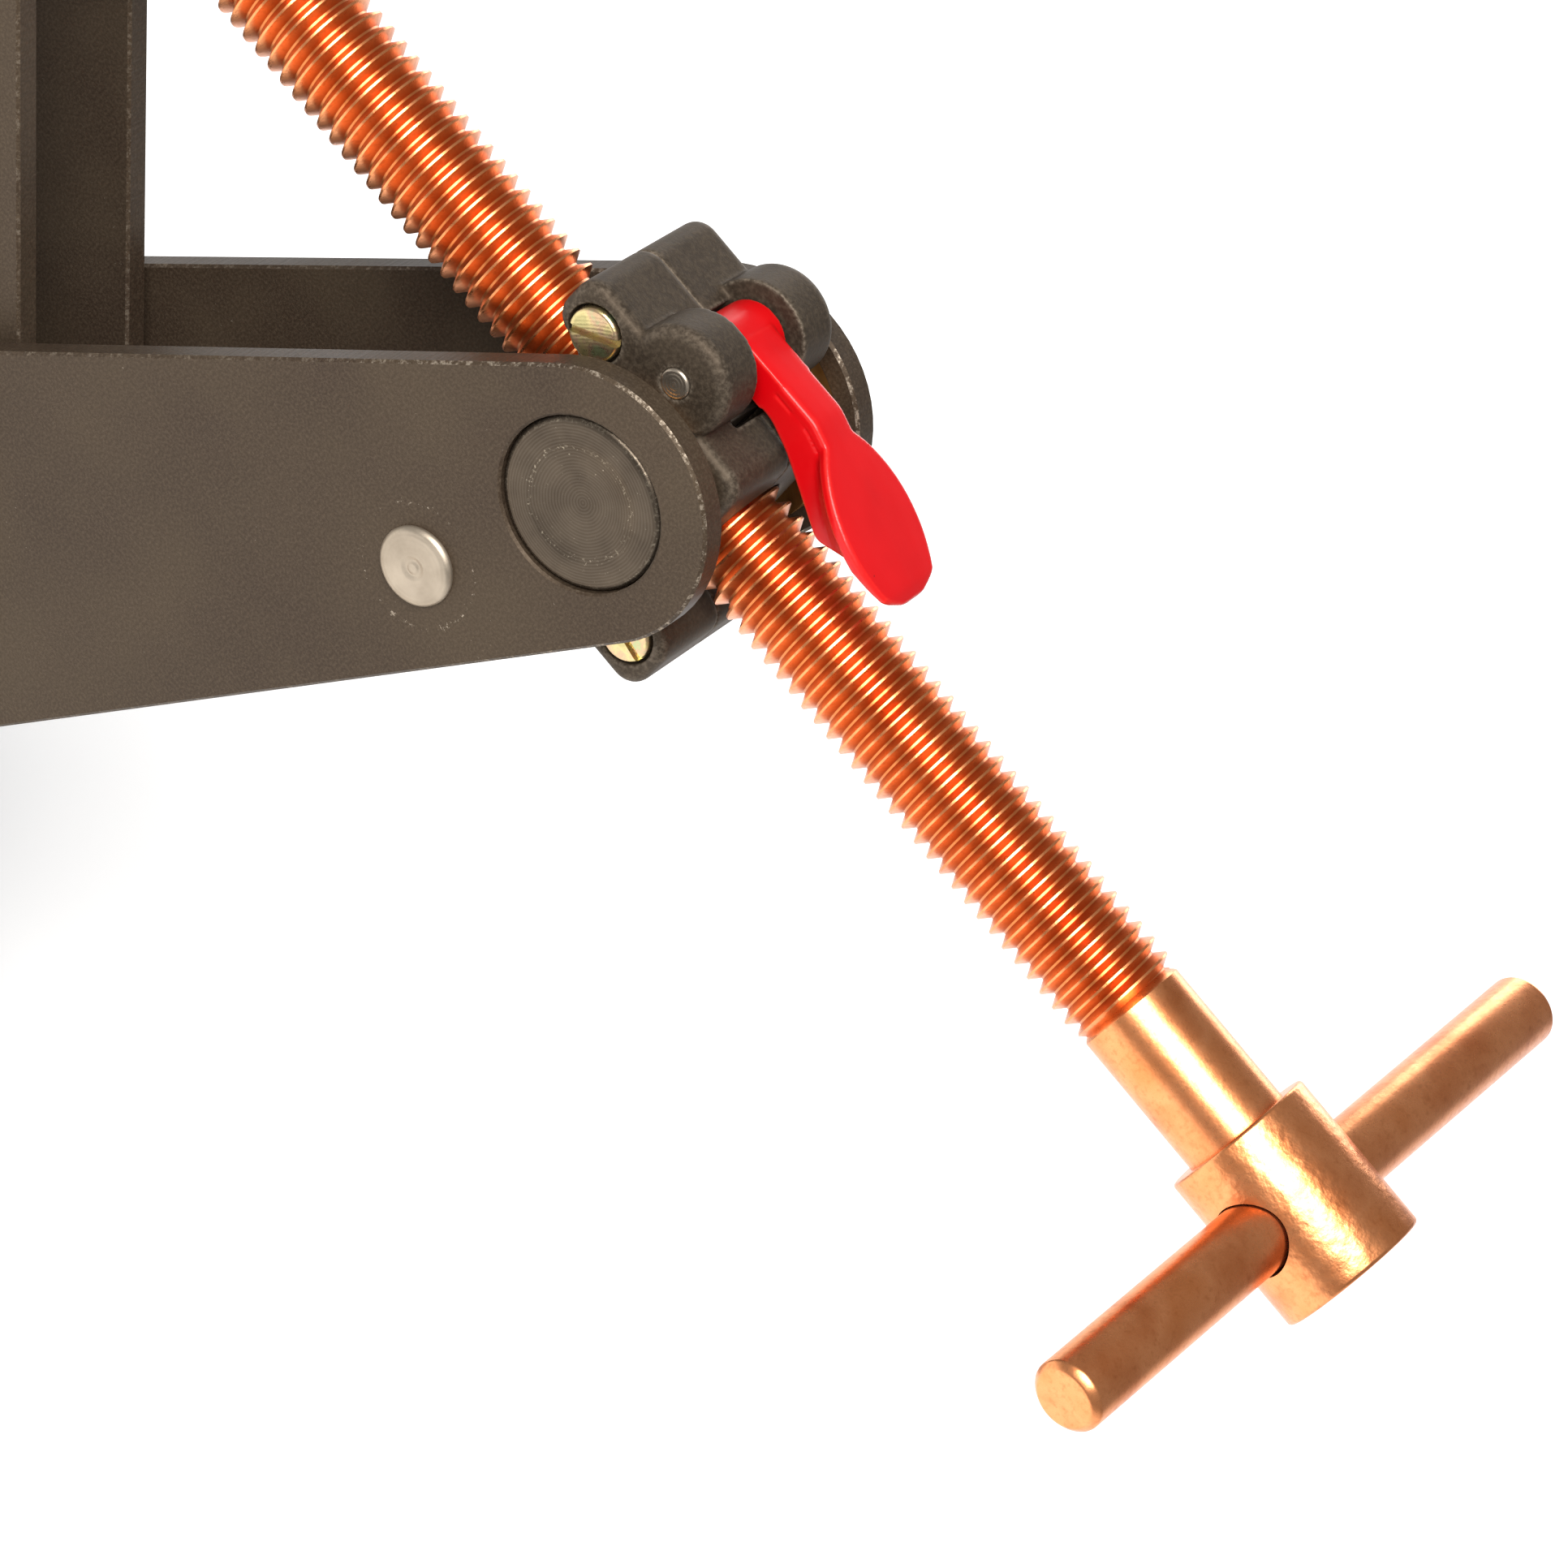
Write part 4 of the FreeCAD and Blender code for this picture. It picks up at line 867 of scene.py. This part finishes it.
# %% Boss, shank and stud
spindle_low, spindle_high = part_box("spindle")
BOSS_RADIUS, BOSS_LENGTH, BOSS_ROUND = 12.7 * MM, 28.0 * MM, 0.7 * MM
SHANK_RADIUS, STUD_RADIUS = 9.0 * MM, 6.0 * MM
OVERLAP = 1.0 * MM           # how far one turned part runs into the next
BAR_RADIUS, BAR_LENGTH, BAR_CHAMFER = 6.0 * MM, 130.0 * MM, 1.2 * MM
HOLE_RADIUS, HOLE_SHIFT = BAR_RADIUS + 0.35 * MM, 0.12 * MM
DRILL_HALF = 40 * MM
BOSS_START = spindle_high.x - BOSS_LENGTH
BAR_CENTRE = centre("cross_bar")
BAR_TILT, BAR_SKEW = math.radians(7.0), math.radians(2.0)
BAR_DIRECTION = Vector((math.sin(BAR_SKEW), math.cos(BAR_SKEW) * math.cos(BAR_TILT),
                        math.cos(BAR_SKEW) * math.sin(BAR_TILT)))

work = bmesh.new()
revolve(work, rounded_rim(BOSS_LENGTH, BOSS_RADIUS, BOSS_ROUND), (BOSS_START, 0, AXIS_Z),
        (1, 0, 0), 128)
boss = object_from(work, "boss", BOSS_COPPER)
work = bmesh.new()
revolve(work, [(-DRILL_HALF, HOLE_RADIUS), (DRILL_HALF, HOLE_RADIUS)],
        BAR_CENTRE + Vector((HOLE_SHIFT, 0, 0)), BAR_DIRECTION, 64)
drill = object_from(work, "drill", COPPER)
cut = boss.modifiers.new("drilled", "BOOLEAN")
cut.operation = "DIFFERENCE"
cut.solver = "EXACT"
cut.object = drill
plain_copy(boss)
bpy.data.objects.remove(drill)

work = bmesh.new()
revolve(work, [(-OVERLAP, SHANK_RADIUS - 1.5 * MM), (0.0, SHANK_RADIUS - 0.3 * MM),
               (0.4 * MM, SHANK_RADIUS), (BOSS_START - THREAD_END + OVERLAP, SHANK_RADIUS)],
        (THREAD_END, 0, AXIS_Z), (1, 0, 0), 128)
revolve(work, rounded_rim(THREAD_START + OVERLAP - spindle_low.x, STUD_RADIUS, 1.0 * MM),
        (spindle_low.x, 0, AXIS_Z), (1, 0, 0), 64)
shank = object_from(work, "shank", COPPER)


# %% [markdown]
# The thread, the shank and the boss turn as one piece, so their meshes are joined into one, and
# each keeps its own copper. The cross bar is a plain round bar with chamfered ends. It leans a
# little and stands a little out of square, as it does when it is driven into its hole by hand.

# %% Join the spindle, and make the cross bar
def joined(name, *pieces):
    """One mesh object from several, each with its own material."""
    work = bmesh.new()
    materials = []
    for piece in pieces:
        before = len(work.faces)
        work.from_mesh(piece.data)
        work.faces.ensure_lookup_table()
        material = piece.data.materials[0]
        if material not in materials:
            materials.append(material)
        for face in work.faces[before:]:
            face.material_index = materials.index(material)
        bpy.data.objects.remove(piece)
    mesh = bpy.data.meshes.new(name)
    work.to_mesh(mesh)
    work.free()
    for material in materials:
        mesh.materials.append(material)
    return linked(name, mesh)


spindle = joined("plated_spindle", thread, boss, shank)
shade(spindle.data, THREAD_SHADE)
place(spindle, "spindle", "copper_plate", "spindle")

work = bmesh.new()
revolve(work, chamfered_rim(BAR_LENGTH, BAR_RADIUS, BAR_CHAMFER),
        BAR_CENTRE - BAR_DIRECTION * BAR_LENGTH / 2, BAR_DIRECTION, 96)
place(object_from(work, "plated_cross_bar", COPPER), "spindle", "copper_plate", "cross_bar")


# %% [markdown]
# ## Trunnions and lever pin
# A trunnion's visible end isn't flat. Its rim is rolled over by the lathe tool, a flat ring
# follows, and the middle is faced off in a very shallow cone. The light bends round each of these,
# so both trunnions and the pin are revolved from such outlines.

# %% Turned ends
TRUNNION_ROOT = 3.0 * MM     # length that is buried in the housing
PIN_ROUND = 0.45 * MM


def trunnion_outline(length, radius):
    """From the inner end out to the faced middle."""
    rim = [(length - 1.5 * MM + 1.4 * MM * math.sin(a), radius - 1.9 * MM * (1 - math.cos(a)))
           for a in (math.pi / 2 * i / 8 for i in range(9))]
    face = [(length, radius * 0.80), (length, radius * 0.685), (length - 0.15 * MM, radius * 0.66),
            (length - 0.75 * MM, radius * 0.3), (length - 0.95 * MM, radius * 0.02)]
    return [(0.0, radius)] + rim + face


for side, way in (("front", -1), ("rear", 1)):
    node = "trunnion_" + side
    low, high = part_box(node)
    length = high.y - low.y - TRUNNION_ROOT
    root = Vector((TRUNNION.x, low.y if way > 0 else high.y, AXIS_Z))
    root += Vector((0, way * TRUNNION_ROOT, 0))
    work = bmesh.new()
    revolve(work, trunnion_outline(length, reach(node)), root, (0, way, 0), 128)
    place(object_from(work, "turned_" + node, TRUNNION_STEEL), "nut_housing", "dark_steel", node)

pin_low, pin_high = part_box("lever_pin")
pin_half = (pin_high.y - pin_low.y) / 2
work = bmesh.new()
revolve(work, rounded_rim(2 * pin_half, reach("lever_pin"), PIN_ROUND),
        (LEVER_PIN.x, -pin_half, LEVER_PIN.z), (0, 1, 0), 64)
place(object_from(work, "turned_lever_pin", PIN_STEEL), "nut_housing", "bare_steel", "lever_pin")


# %% [markdown]
# ## Rivets
# Every rivet head is the same: a low zinc-plated button with a rolled rim, and a ring left in the
# middle by the riveting tool. A Geometry Nodes tree puts one head on each point of a small seed
# mesh. The sign of the point's Y tells which way the head faces.

# %% Rivet tree
def rivet_heads():
    tree, given = tree_with("rivet_heads", Geometry="Geometry", Head="Object", Material="Material")
    head = add(tree, "GeometryNodeObjectInfo", {0: given["Head"]}, out="Geometry")
    outward = add(tree, VECTOR, {0: add(tree, "GeometryNodeInputPosition"), 1: (0.0, 1.0, 0.0)},
                  operation="MULTIPLY")
    turned = add(tree, "FunctionNodeAlignRotationToVector", {"Vector": outward}, axis="Z")
    placed = add(tree, "GeometryNodeInstanceOnPoints", {"Points": given["Geometry"],
                                                        "Instance": head, "Rotation": turned})
    return end_tree(tree, placed, given["Material"])


def rivet_head():
    """One head on the origin, facing up."""
    outline = [(0.0, 6.65), (0.25, 6.7), (0.6, 6.62), (0.95, 6.3), (1.2, 5.8), (1.32, 5.0),
               (1.38, 3.6), (1.40, 2.2), (1.34, 1.75), (1.12, 1.5), (1.12, 1.1), (1.28, 0.9),
               (1.28, 0.05)]
    work = bmesh.new()
    revolve(work, [(h * MM, r * MM) for h, r in outline], (0, 0, 0), (0, 0, 1), 64)
    layer = work.verts.layers.float.new("from_middle")
    for vert in work.verts:
        vert[layer] = vert.co.xy.length
    return object_from(work, "rivet_head", RIVET_STEEL, 50)


# %% [markdown]
# Each arm has one rivet through its spacer tube and three through its jaw block. The box round the
# jaw's rivets touches their heads, so each centre lies one head's radius inside it.

# %% Set the rivets
HEAD_RADIUS, HEAD_SHADE = 6.7 * MM, 50
FAR_RIVET_RISE = 0.85 * MM   # the far lower rivet stands this much higher than the near one
head = rivet_head()
tree = rivet_heads()
for arm in ("outer", "inner"):
    low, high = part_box(arm + "_plate_front")[0].y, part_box(arm + "_plate_rear")[1].y
    jaw_low, jaw_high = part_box(arm + "_jaw_rivets")
    left_x, right_x = jaw_low.x + HEAD_RADIUS, jaw_high.x - HEAD_RADIUS
    far_x, near_x = (left_x, right_x) if arm == "outer" else (right_x, left_x)
    middle = centre(arm + "_spacer_rivet")
    spots = [(middle.x, middle.z), (far_x, jaw_high.z - HEAD_RADIUS),
             (far_x, jaw_low.z + HEAD_RADIUS + FAR_RIVET_RISE),
             (near_x, jaw_low.z + HEAD_RADIUS)]
    seed = bpy.data.meshes.new(arm + "_rivet_seeds")
    seed.from_pydata([(x, y, z) for x, z in spots for y in (low, high)], [], [])
    heads = grown(arm + "_rivets", tree, {"Head": head, "Material": RIVET_STEEL}, seed)
    shade(heads.data, HEAD_SHADE)
    place(heads, arm + "_arm", "zinc_steel", arm + "_spacer_rivet", arm + "_jaw_rivets")
bpy.data.objects.remove(head)


# %% [markdown]
# ## Growth
# The visual model's size, less the solid model's, is printed along each axis in millimetres.

# %% Print the growth and finish
visual_low, visual_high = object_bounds()
growth = (visual_high - visual_low) - (cad_high - cad_low)
print("growth, mm:", [round(v, 3) for v in growth / MM])
